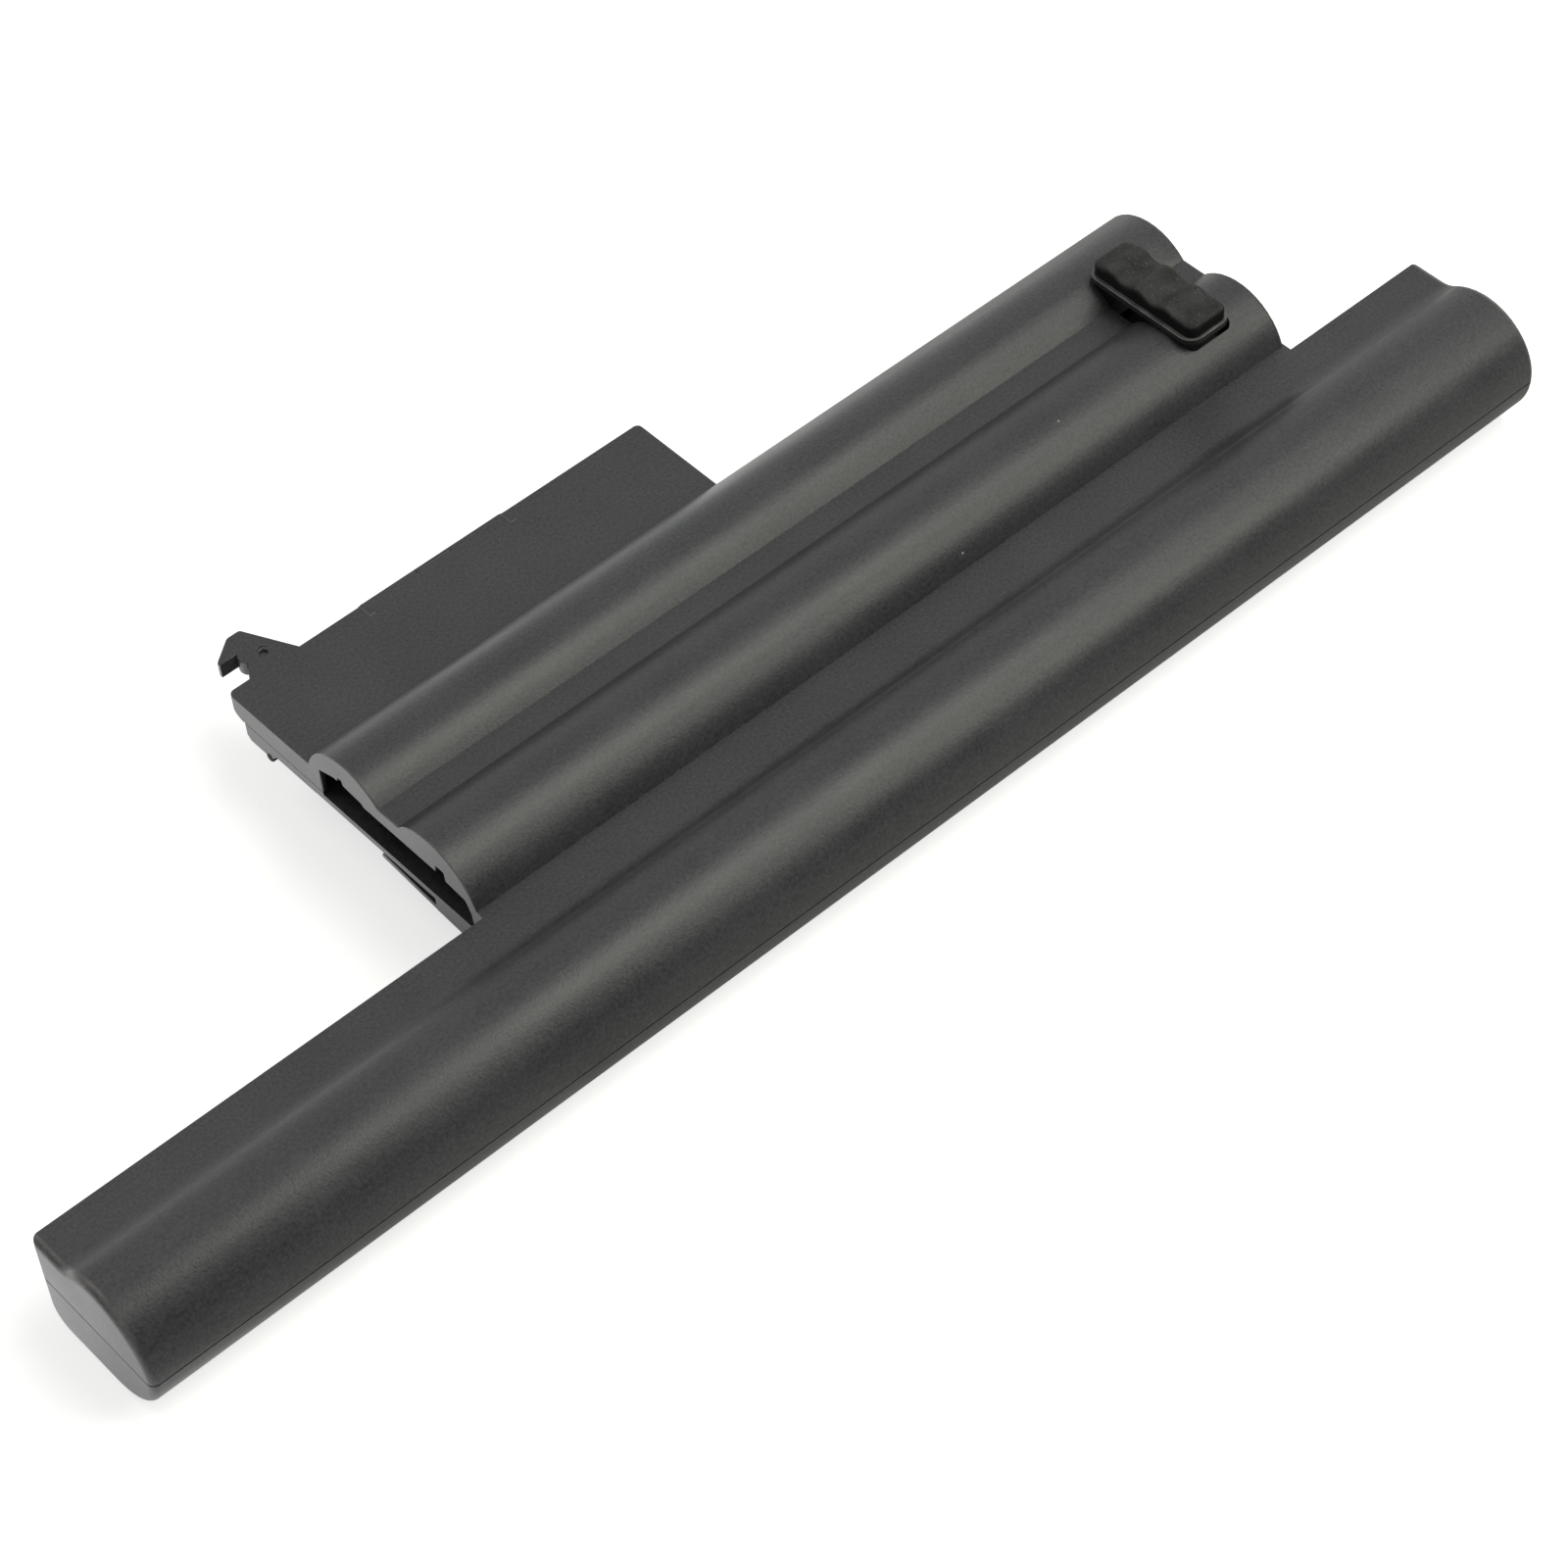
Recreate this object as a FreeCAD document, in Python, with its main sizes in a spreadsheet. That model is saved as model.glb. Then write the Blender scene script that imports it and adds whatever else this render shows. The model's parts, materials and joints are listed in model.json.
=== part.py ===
import FreeCAD, Part
import math
import os
import re

import Sketcher

# A laptop battery: a long bar of four round cells with a ledge, a block of two more rows of cells
# beside it, a thin wing that holds the circuit board and the connector, and a slide latch.
# X runs along the bar, Y from the bar to the wing, Z up through the face with the round humps.
# The origin is on the flat underside of the bar, below the middle of its row of cells.

SIZES = {
    # cells and what separates them
    "cell_diameter": 18.2,
    "cell_length": 65.0,
    "cell_gap": 1.1,
    "row_gap": 1.1,
    "cap_height": 0.3,
    "cap_radius": 4.2,
    "rim_width": 1.2,
    "rim_depth": 0.5,
    # bar
    "bar_wall": 1.2,
    "bar_clearance": 0.4,
    "channel_width": 4.1,
    "ledge_height": 18.5,
    "ledge_blend": 5.0,
    "bar_seam": 10.0,
    "bar_corner": 4.2,
    "bar_end_edge": 1.3,
    "bar_foot_edge": 3.4,
    # block
    "block_start": -56.0,
    "block_wall": 0.85,
    "block_clearance": 0.21,
    "block_floor": 5.32,
    "block_corner": 5.0,
    "block_end_edge": 0.7,
    "row_margin": 0.99,
    "valley_height": 22.5,
    "block_seam": 14.2,
    # open cavity in the end of the block
    "cavity_depth": 9.9,
    "mouth_margin": 1.55,
    "mouth_sill": 13.7,
    "mouth_top": 19.6,
    "mouth_rise": 0.9,
    "mouth_lean": 1.6,
    "mouth_drop": 0.4,
    "mouth_start": 0.9,
    "notch_height": 1.4,
    "notch_width": 1.7,
    "notch_offset": 2.6,
    "notch_draft": 0.2,
    "step_offset": 3.5,
    "step_run": 0.5,
    "slit_offset": 1.2,
    "slit_width": 1.3,
    "slit_height": 0.9,
    "brow_run": 3.4,
    "floor_slab": 1.2,
    "root_height": 9.2,
    "root_width": 11.8,
    "root_slope": 0.8,
    "tongue_length": 12.0,
    "tongue_thickness": 0.9,
    "tongue_rise": 1.2,
    # wing with its hook
    "wing_height": 18.5,
    "wing_length": 79.4,
    "wing_reach": 18.99,
    "wing_lip": 1.6,
    "wing_tuck": 3.2,
    "wing_shelf": 12.4,
    "wing_floor": 11.0,
    "wing_edge": 1.0,
    "shelf_width": 8.6,
    "shelf_slope": 1.3,
    "tray_edge": 0.8,
    "foot_height": 0.6,
    "foot_width": 1.4,
    "foot_length": 5.0,
    "hook_thickness": 2.7,
    "hook_gap": 5.1,
    "hook_root": 4.0,
    "hook_tip": 2.4,
    "hook_length": 13.3,
    "hook_reach": 8.9,
    "hook_nose": 2.4,
    "hook_shoulder": 4.0,
    "hook_lip": 1.25,
    "hook_round": 1.8,
    "hook_corner": 0.7,
    "dimple_radius": 0.6,
    "dimple_depth": 0.5,
    # circuit board and connector
    "board_thickness": 1.0,
    "board_margin": 0.6,
    "part_margin": 1.0,
    "chip_side": 7.0,
    "chip_height": 1.2,
    "transistor_length": 5.0,
    "transistor_width": 4.0,
    "fuse_length": 7.5,
    "fuse_width": 3.0,
    "shunt_length": 6.4,
    "shunt_width": 3.2,
    "connector_start": 24.3,
    "connector_length": 27.3,
    "connector_depth": 11.9,
    "connector_floor": 12.2,
    "contact_pitch": 3.6,
    "contact_count": 7,
    "slot_width": 1.3,
    "slot_sill": 1.2,
    "slot_roof": 0.5,
    "slot_depth": 4.2,
    "leaf_margin": 0.5,
    "key_width": 0.4,
    "key_leg": 1.5,
    "key_length": 2.9,
    "finger_mark_start": 35.05,
    "finger_mark_length": 6.7,
    "leaf_thickness": 0.3,
    "joint_gap": 0.15,
    # nickel links, strips and tape
    "link_thickness": 0.2,
    "link_height": 8.0,
    "arm_height": 2.6,
    "arm_margin": 0.3,
    "ring_thickness": 0.25,
    "ring_margin": 0.5,
    "ring_hole": 4.6,
    "tape_width": 5.0,
    # latch
    "latch_room": 15.9,
    "latch_offset": 5.8,
    "latch_travel": 3.0,
    "flange_width": 9.45,
    "flange_length": 23.1,
    "flange_thickness": 1.0,
    "flange_corner": 2.6,
    "flange_lift": 0.3,
    "grip_margin": 0.75,
    "grip_end_margin": 0.5,
    "grip_corner": 1.6,
    "grip_height": 2.5,
    "wave_depth": 0.8,
    "wave_pitch": 6.1,
    "wave_shift": 1.2,
    "recess_floor": 20.6,
    "recess_margin": 0.65,
    "flange_overhang": 0.5,
    "recess_corner": 1.6,
    "stem_margin": 0.5,
    "stem_width": 4.5,
    "stem_length": 11.0,
    "tenon_step": 0.8,
    "slide_clearance": 0.3,
    "plate_thickness": 2.0,
    "plate_width": 9.0,
    "plate_length": 25.0,
    "bolt_width": 8.0,
    "bolt_height": 3.8,
    "bolt_reach": 2.6,
    "bolt_ramp": 2.0,
    "guide_margin": 1.21,
    "guide_wall": 1.1,
    "guide_ledge": 2.0,
    "spring_thickness": 0.3,
    "spring_width": 4.0,
    "detent_depth": 0.5,
    "detent_width": 1.0,
    "spring_offset": 7.0,
}

doc = FreeCAD.newDocument("laptop_battery")
sizes = doc.addObject("Spreadsheet::Sheet", "sizes")
for row, (alias, amount) in enumerate(SIZES.items(), 1):
    sizes.set(f"A{row}", alias)
    sizes.set(f"B{row}", str(amount))
    sizes.setAlias(f"B{row}", alias)
doc.recompute()

# Sizes that follow from the sheet
cell_radius = "(cell_diameter / 2)"
bar_radius = f"({cell_radius} + bar_clearance + bar_wall)"
bar_half = "(2 * cell_length + 2.5 * cell_gap + bar_wall)"
bar_inner = f"({cell_radius} + bar_clearance + channel_width + bar_wall)"
hump_radius = f"({cell_radius} + block_clearance + block_wall)"
hump_height = f"(block_floor + {hump_radius})"
crown_height = f"({hump_height} + {hump_radius})"
near_axis = f"({bar_inner} + {hump_radius} + row_margin)"
far_axis = f"({near_axis} + cell_diameter + row_gap)"
cavity_end = "(block_start + cavity_depth)"
cells_start = f"({cavity_end} + block_wall)"
cells_end = f"({cells_start} + 2 * cell_length + 3 * cell_gap)"
latch_start = f"({cells_end} + block_wall)"
latch_end = f"({latch_start} + latch_room)"
block_end = f"({latch_end} + block_wall)"
wing_end = "(block_start + wing_length)"
wing_rear = f"({far_axis} + {hump_radius} + wing_reach)"
root_end = f"({bar_inner} + root_width)"
tongue_base = "(root_height + root_slope)"
tray_rear = f"({wing_rear} - wing_tuck)"
mouth_left = f"({near_axis} - {hump_radius} + block_wall + mouth_margin - mouth_start)"
mouth_right = f"({far_axis} + {hump_radius} - 2 * mouth_margin)"
latch_centre = f"({near_axis} + latch_offset)"
guide_start = f"({near_axis} - {hump_radius} + block_wall + guide_margin)"
plate_middle = f"({guide_start} + guide_wall + slide_clearance + plate_length / 2)"
recess_left = f"({latch_start} + recess_margin)"
recess_right = f"({recess_left} + flange_width)"
recess_half = "(flange_length / 2 - flange_overhang)"
flange_left = f"({recess_left} - flange_overhang)"
flange_base = f"({crown_height} + flange_lift)"
stem_left = f"({recess_left} + latch_travel + stem_margin)"
plate_left = f"({latch_start} + latch_travel + slide_clearance)"
plate_top = "(recess_floor - block_wall - slide_clearance)"
plate_base = f"({plate_top} - plate_thickness)"
crest_across = f"({plate_left} + plate_width / 2)"
tray_floor = "(block_floor + block_wall)"
block_side = f"({far_axis} + sqrt({hump_radius}^2 - ({hump_height} - block_seam)^2))"
shelf_end = f"({block_side} + shelf_width)"
foot_line = f"({shelf_end} + shelf_slope)"
board_base = "(wing_shelf + block_wall)"
board_top = f"({board_base} + board_thickness)"
board_start = f"({cells_start} + board_margin)"
board_near = f"({block_side} + 1.5)"
board_far = f"({wing_rear} - wing_tuck - block_wall - board_margin)"
connector_left = "(block_start + connector_start)"
connector_right = f"({connector_left} + connector_length)"
connector_middle = f"({connector_left} + connector_length / 2)"
connector_roof = "(wing_height - block_wall - joint_gap)"
slot_low = "(connector_floor + slot_sill)"
slot_high = f"({connector_roof} - slot_roof)"


def bound(text):
    """The expression with each size's alias pointed at the sheet."""
    return re.sub(
        r"[a-z_]+",
        lambda word: "sizes." + word.group(0) if word.group(0) in SIZES else word.group(0),
        text,
    )


def number(text):
    """The value of an expression, in millimetres."""
    return float(sizes.evalExpression(bound(text)))


def bind(thing, prop, text):
    """Ties a property of an object to an expression of the sheet."""
    thing.setExpression(prop, bound(text))


def new_body(name):
    """An empty body whose label is the sub-part's name."""
    body = doc.addObject("PartDesign::Body", name)
    body.Label = name
    return body


def origin_feature(body, role):
    return next(item for item in body.Origin.OriginFeatures if item.Role == role)


def arc_between(start, end, radius, turn):
    """The short arc from start to end that turns left or right."""
    chord = end - start
    middle = (start + end) * 0.5
    rise = math.sqrt(max(radius**2 - (chord.Length / 2) ** 2, 0))
    side = FreeCAD.Vector(-chord.y, chord.x, 0).normalize()
    centre = middle + side * (rise if turn == "left" else -rise)
    first, last = (start, end) if turn == "left" else (end, start)
    angles = [math.atan2(point.y - centre.y, point.x - centre.x) for point in (first, last)]
    circle = Part.Circle(centre, FreeCAD.Vector(0, 0, 1), radius)
    return Part.ArcOfCircle(circle, angles[0], angles[1] + (2 * math.pi if angles[1] < angles[0] else 0))


def outline(body, name, plane, level, corners):
    """A closed sketch. A corner is (across, up), or (across, up, radius, turn) when an arc leads to it.

    One corner alone, as (across, up, radius), is a circle."""
    sketch = body.newObject("Sketcher::SketchObject", name)
    sketch.AttachmentSupport = [(origin_feature(body, plane + "_Plane"), "")]
    sketch.MapMode = "FlatFace"
    bind(sketch, "AttachmentOffset.Base.z", f"-({level})" if plane == "XZ" else level)
    points = [FreeCAD.Vector(number(corner[0]), number(corner[1]), 0) for corner in corners]
    if len(corners) == 1:
        return circle_outline(sketch, points[0], *corners[0])
    tails = []
    heads = []
    for index, corner in enumerate(corners):
        start, end = points[index - 1], points[index]
        if len(corner) == 2:
            sketch.addGeometry(Part.LineSegment(start, end), False)
        else:
            sketch.addGeometry(arc_between(start, end, number(corner[2]), corner[3]), False)
        backwards = len(corner) == 4 and corner[3] == "right"
        tails.append(2 if backwards else 1)
        heads.append(1 if backwards else 2)
    for index, corner in enumerate(corners):
        after = (index + 1) % len(corners)
        sketch.addConstraint(Sketcher.Constraint("Coincident", index, heads[index], after, tails[after]))
        for kind, text, amount in (
            ("DistanceX", corner[0], points[index].x),
            ("DistanceY", corner[1], points[index].y),
        ):
            place = Sketcher.Constraint(kind, -1, 1, index, heads[index], amount)
            bind(sketch, f"Constraints[{sketch.addConstraint(place)}]", text)
        if len(corner) == 4:
            bend = Sketcher.Constraint("Radius", index, number(corner[2]))
            bind(sketch, f"Constraints[{sketch.addConstraint(bend)}]", corner[2])
    return sketch


def circle_outline(sketch, centre, across, up, radius):
    """Fills a sketch with one circle."""
    sketch.addGeometry(Part.Circle(centre, FreeCAD.Vector(0, 0, 1), number(radius)), False)
    for kind, text, amount in (("DistanceX", across, centre.x), ("DistanceY", up, centre.y)):
        place = Sketcher.Constraint(kind, -1, 1, 0, 3, amount)
        bind(sketch, f"Constraints[{sketch.addConstraint(place)}]", text)
    size = Sketcher.Constraint("Radius", 0, number(radius))
    bind(sketch, f"Constraints[{sketch.addConstraint(size)}]", radius)
    return sketch


def add(body, name, plane, level, length, corners):
    """Pads an outline from its plane towards the positive axis."""
    pad = body.newObject("PartDesign::Pad", name)
    pad.Profile = outline(body, name + "_outline", plane, level, corners)
    pad.Reversed = plane == "XZ"
    bind(pad, "Length", length)
    doc.recompute()
    return pad


def cut(body, name, plane, level, length, corners):
    """Cuts an outline from its plane towards the positive axis, and makes sure that it cuts something."""
    before = body.Shape.Volume
    pocket = body.newObject("PartDesign::Pocket", name)
    pocket.Profile = outline(body, name + "_outline", plane, level, corners)
    pocket.Reversed = plane != "XZ"
    bind(pocket, "Length", length)
    doc.recompute()
    if not body.Shape.Volume < before:
        raise RuntimeError(f"{name} cuts nothing")
    return pocket


def repeat(body, name, feature, role, length, count):
    """Repeats a feature along one of the body's own axes."""
    pattern = body.newObject("PartDesign::LinearPattern", name)
    pattern.Originals = [feature]
    pattern.Direction = (origin_feature(body, role), [""])
    bind(pattern, "Length", length)
    bind(pattern, "Occurrences", count)
    body.Tip = pattern
    doc.recompute()
    return pattern


def soften(body, name, radius, chosen):
    """Rounds the chosen edges of what the body holds so far."""
    base = body.Tip
    names = [f"Edge{place}" for place, edge in enumerate(base.Shape.Edges, 1) if chosen(edge)]
    if not names:
        raise RuntimeError(f"{name} finds no edge")
    fillet = body.newObject("PartDesign::Fillet", name)
    fillet.Base = (base, names)
    bind(fillet, "Radius", radius)
    doc.recompute()
    return fillet


def soften_growing(feature, name, radius, low_radius, low, chosen):
    """Rounds the chosen edges by a radius that grows to another one where they reach the low level."""
    rows = []
    for place, edge in enumerate(feature.Shape.Edges, 1):
        if chosen(edge):
            heights = [edge.valueAt(at).z for at in (edge.FirstParameter, edge.LastParameter)]
            rows.append((place, *[number(low_radius if height < number(low) + 0.01 else radius)
                                  for height in heights]))
    if not rows:
        raise RuntimeError(f"{name} finds no edge")
    fillet = doc.addObject("Part::Fillet", name)
    fillet.Base = feature
    fillet.Edges = rows
    doc.recompute()
    return fillet


def in_plane(edge, axis, level):
    """Whether an edge lies in the plane where the axis has that value."""
    box = edge.BoundBox
    low = {"X": box.XMin, "Y": box.YMin, "Z": box.ZMin}[axis]
    high = {"X": box.XMax, "Y": box.YMax, "Z": box.ZMax}[axis]
    return abs(low - level) < 1e-4 and abs(high - level) < 1e-4


def box_corners(left, low, right, high):
    return [(left, low), (right, low), (right, high), (left, high)]


def round_corners(left, low, right, high, radius):
    """A rectangle with four round corners."""
    return [
        (f"{right} - {radius}", low),
        (right, f"{low} + {radius}", radius, "left"),
        (right, f"{high} - {radius}"),
        (f"{right} - {radius}", high, radius, "left"),
        (f"{left} + {radius}", high),
        (left, f"{high} - {radius}", radius, "left"),
        (left, f"{low} + {radius}"),
        (f"{left} + {radius}", low, radius, "left"),
    ]


def half_chord(radius, rise):
    """Half the width of a circle at a height above or below its centre."""
    return f"sqrt(({radius})^2 - ({rise})^2)"


def box_part(name, place, span):
    """A plain box piece, bound to the sheet."""
    piece = doc.addObject("Part::Box", name)
    piece.Label = name
    for side, text in zip(("Length", "Width", "Height"), span):
        bind(piece, side, text)
    for axis, text in zip("xyz", place):
        bind(piece, f"Placement.Base.{axis}", text)
    return piece


def bar_top(inset):
    """Upper half of the bar's section, drawn inwards from the skin by the inset.

    A hollow blend leads from the round hump to the flat ledge, and follows both as they move in."""
    radius = f"({bar_radius} - {inset})"
    ledge = f"(ledge_height - {inset})"
    rise = f"(ledge_height + ledge_blend - {bar_radius})"
    reach = half_chord(f"{bar_radius} + ledge_blend", rise)
    share = f"({radius} / ({bar_radius} + ledge_blend))"
    return [
        (f"-{half_chord(radius, f'{bar_radius} - bar_seam')}", "bar_seam"),
        (f"{reach} * {share}", f"{bar_radius} + {rise} * {share}", radius, "right"),
        (reach, ledge, f"(ledge_blend + {inset})", "left"),
        (f"{bar_inner} - {inset}", ledge),
        (f"{bar_inner} - {inset}", "bar_seam"),
    ]


def bar_bottom(inset):
    """Lower half of the bar's section."""
    radius = f"({bar_radius} - {inset})"
    corner = f"(bar_corner - {inset})"
    return [
        (f"-{half_chord(radius, f'{bar_radius} - bar_seam')}", "bar_seam"),
        ("0", inset, radius, "left"),
        (f"{bar_inner} - bar_corner", inset),
        (f"{bar_inner} - {inset}", "bar_corner", corner, "left"),
        (f"{bar_inner} - {inset}", "bar_seam"),
    ]


def humps(inset, left, low):
    """The two humps and the valley between them, from the left edge to the far side."""
    radius = f"({hump_radius} - {inset})"
    ledge = f"(ledge_height - {inset})"
    valley = f"(valley_height - {inset})"
    foot = half_chord(radius, f"{ledge} - {hump_height}")
    brow = half_chord(radius, f"{valley} - {hump_height}")
    side = half_chord(radius, f"{hump_height} - block_seam")
    return [
        (left, low),
        (left, ledge),
        (f"{near_axis} - {foot}", ledge),
        (f"{near_axis} + {brow}", valley, radius, "right"),
        (f"{far_axis} - {brow}", valley),
        (f"{far_axis} + {side}", "block_seam", radius, "right"),
    ] + ([(f"{far_axis} + {side}", low)] if low != "block_seam" else [])


def near_room(inset, low):
    """The humps without the ledge: its left side is the near hump's own round side."""
    radius = f"({hump_radius} - {inset})"
    valley = f"(valley_height - {inset})"
    brow = half_chord(radius, f"{valley} - {hump_height}")
    side = half_chord(radius, f"{hump_height} - block_seam")
    return [
        (f"{near_axis} - {side}", low),
        (f"{near_axis} - {side}", "block_seam"),
        (f"{near_axis} + {brow}", valley, radius, "right"),
        (f"{far_axis} - {brow}", valley),
        (f"{far_axis} + {side}", "block_seam", radius, "right"),
        (f"{far_axis} + {side}", low),
    ]


def block_tray(inset, left):
    """Lower half of the block's section."""
    side = half_chord(f"{hump_radius}", f"{hump_height} - block_seam")
    corner = f"(block_corner - {inset})"
    return [
        (left, f"block_floor + {inset}"),
        (f"{far_axis} + {side} - block_corner", f"block_floor + {inset}"),
        (f"{far_axis} + {side} - {inset}", "block_floor + block_corner", corner, "left"),
        (f"{far_axis} + {side} - {inset}", "block_seam"),
        (left, "block_seam"),
    ]


def hook_outline():
    """The catch hook on the wing's free corner, its notch open towards the block's end."""
    throat = f"{wing_rear} + hook_gap"
    tip = "block_start + hook_tip"
    return [
        ("block_start + hook_length", f"{wing_rear} - wing_edge"),
        ("block_start + hook_length", wing_rear),
        (f"{tip} + hook_shoulder + hook_nose", f"{wing_rear} + hook_reach"),
        (f"{tip} + hook_shoulder", f"{wing_rear} + hook_reach"),
        (f"{tip} + hook_lip / 2", f"{throat} + hook_lip"),
        (tip, f"{throat} + hook_lip / 2", "hook_round", "left"),
        (tip, throat),
        ("block_start + hook_root + 1.15 * hook_lip", throat),
        ("block_start + hook_root + 1.25 * hook_lip", f"{throat} - 1.9 * hook_lip", "hook_round", "left"),
        ("block_start + hook_root", wing_rear),
        ("block_start + hook_root", f"{wing_rear} - wing_edge"),
    ]


def make_upper_shell():
    """The shell with the humps, the ledge, the wing's top, the hook and the latch's recess."""
    full = f"2 * {bar_half}"
    bar_end = number(bar_half)
    skin = add(new_body("bar_form"), "bar_skin", "YZ", f"-{bar_half}", full, bar_top("0"))
    shell = new_body("upper_shell")
    shell.BaseFeature = soften_growing(
        skin, "bar_end_rounds", "bar_end_edge", "bar_foot_edge", "bar_seam", lambda edge:
        (in_plane(edge, "X", bar_end) or in_plane(edge, "X", -bar_end))
        and edge.BoundBox.ZMax > number("bar_seam") + 0.01)
    doc.recompute()
    add(shell, "block_skin", "YZ", "block_start", f"{block_end} - block_start",
        humps("0", f"{bar_inner} - 1.5 * bar_wall", "block_seam"))
    top = number("ledge_height") + 0.01
    soften(shell, "block_end_rounds", "block_end_edge", lambda edge: in_plane(edge, "X", number(block_end))
           and edge.BoundBox.ZMax > top and edge.BoundBox.ZMin > number("block_seam") - 0.01)
    add(shell, "wing_skin", "XY", "block_seam", "wing_height - block_seam",
        box_corners("block_start", far_axis, wing_end, wing_rear))
    soften(shell, "wing_corner_rounds", "wing_edge", lambda edge: in_plane(edge, "Y", number(wing_rear))
           and (in_plane(edge, "X", number(wing_end)) or in_plane(edge, "X", number("block_start"))))
    cut(shell, "wing_undercut", "YZ", "block_start - 1", "wing_length + 2", [
        (f"{wing_rear} + 1", "block_seam - 1"),
        (f"{wing_rear} + 1", "wing_height - wing_lip"),
        (wing_rear, "wing_height - wing_lip"),
        (tray_rear, "block_seam", "wing_tuck", "right"),
        (tray_rear, "block_seam - 1"),
    ])
    add(shell, "hook", "XY", "wing_height - hook_thickness", "hook_thickness", hook_outline())
    soften(shell, "hook_corner_rounds", "hook_corner", lambda edge:
           in_plane(edge, "Y", number(f"{wing_rear} + hook_reach"))
           and edge.BoundBox.ZLength > 0.5 * number("hook_thickness"))
    cut(shell, "hook_dimple", "XY", "wing_height - dimple_depth", "2 * dimple_depth",
        [("block_start + (hook_root + hook_length) / 2", f"{wing_rear} + 0.3 * hook_reach",
          "dimple_radius")])
    cut(shell, "bar_room", "YZ", f"-{bar_half} + bar_wall", f"{full} - 2 * bar_wall", bar_top("bar_wall"))
    cut(shell, "cells_room", "YZ", cells_start, f"{cells_end} - {cells_start}",
        humps("block_wall", f"{bar_inner} - 1.1 * bar_wall", "bar_seam"))
    cut(shell, "cavity_room", "YZ", "block_start + block_wall", "cavity_depth - block_wall",
        near_room("block_wall", "block_seam - 1"))
    cut(shell, "mouth", "YZ", "block_start - 1", "block_wall + 2", mouth_outline())
    cut(shell, "latch_room", "YZ", latch_start, "latch_room", [
        (f"{near_axis} - {hump_radius} + block_wall + 0.1", "block_seam - 1"),
        (f"{near_axis} - {hump_radius} + block_wall + 0.1", "recess_floor - block_wall"),
        (f"{far_axis} + cell_diameter / 2 - 0.6", "recess_floor - block_wall"),
        (f"{far_axis} + cell_diameter / 2", "block_seam - 1"),
    ])
    room = "wing_height - block_wall - block_seam + 1"
    cut(shell, "wing_room", "XY", "block_seam - 1", room, [
        ("block_start + block_wall", f"{block_side} + block_wall"),
        (cells_start, f"{block_side} + block_wall"),
        (cells_start, f"{far_axis} + 0.6 * {hump_radius}"),
        (f"{wing_end} - block_wall", f"{far_axis} + 0.6 * {hump_radius}"),
        (f"{wing_end} - block_wall", f"{tray_rear} - block_wall"),
        ("block_start + block_wall", f"{tray_rear} - block_wall"),
    ])
    cut(shell, "connector_port", "XY", "block_seam - 1", room, box_corners(
        f"{connector_left} - joint_gap", f"{tray_rear} - block_wall - 1",
        f"{connector_right} + joint_gap", f"{wing_rear} + 1"))
    for name, left in (("left_key_slit", connector_left), ("right_key_slit", connector_right)):
        cut(shell, name, "XY", "wing_height - 1.5 * block_wall", "2 * block_wall", [
            (left, f"{wing_rear} - key_length"),
            (f"{left} + key_leg", f"{wing_rear} - key_length"),
            (f"{left} + key_leg", f"{wing_rear} - key_length + key_width"),
            (f"{left} + key_width", f"{wing_rear} - key_length + key_width"),
            (f"{left} + key_width", f"{wing_rear} + 1"),
            (left, f"{wing_rear} + 1"),
        ])
    cut(shell, "finger_mark", "XY", "wing_height - block_wall / 3", "block_wall", box_corners(
        "block_start + finger_mark_start", f"{wing_rear} - 2 * key_width",
        "block_start + finger_mark_start + finger_mark_length", f"{wing_rear} - key_width"))
    cut(shell, "latch_recess", "XY", "recess_floor", f"{crown_height}", round_corners(
        recess_left, f"{latch_centre} - {recess_half}", recess_right, f"{latch_centre} + {recess_half}",
        "recess_corner"))
    cut(shell, "stem_slot", "XY", "recess_floor - block_wall - 1", "block_wall + 2", box_corners(
        f"{stem_left} - latch_travel - slide_clearance",
        f"{latch_centre} - stem_length / 2 - slide_clearance",
        f"{stem_left} + stem_width + slide_clearance",
        f"{latch_centre} + stem_length / 2 + slide_clearance"))
    cut(shell, "bolt_slot", "YZ", f"{latch_end} - 1", "block_wall + 2", box_corners(
        f"{latch_centre} - bolt_width / 2 - slide_clearance",
        f"{plate_top} - bolt_height - slide_clearance",
        f"{latch_centre} + bolt_width / 2 + slide_clearance",
        "recess_floor - block_wall"))
    return shell


def mouth_outline():
    """The opening in the block's end: a long slot with a raised far end and two small notches."""
    shelf = "(mouth_top + mouth_rise)"
    notch = f"({near_axis} - notch_offset)"
    step = f"({far_axis} - step_offset)"
    slit = f"({far_axis} + slit_offset)"
    return [
        (mouth_left, "mouth_sill"),
        (f"{mouth_left} + mouth_lean", "mouth_top - 2 * mouth_drop",
         f"{hump_radius} - mouth_margin", "right"),
        (f"{notch} - notch_draft", "mouth_top - mouth_drop"),
        (notch, "mouth_top + notch_height"),
        (f"{notch} + notch_width", "mouth_top + notch_height"),
        (f"{notch} + notch_width + notch_draft", "mouth_top"),
        (step, "mouth_top"),
        (f"{step} + step_run", f"{shelf} - mouth_drop"),
        (slit, shelf),
        (f"{slit} + notch_draft", f"{shelf} + slit_height"),
        (f"{slit} + slit_width - notch_draft", f"{shelf} + slit_height"),
        (f"{slit} + slit_width", shelf),
        (f"{far_axis} + brow_run", shelf),
        (mouth_right, "mouth_top - mouth_drop"),
        (mouth_right, "mouth_sill"),
    ]


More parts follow.
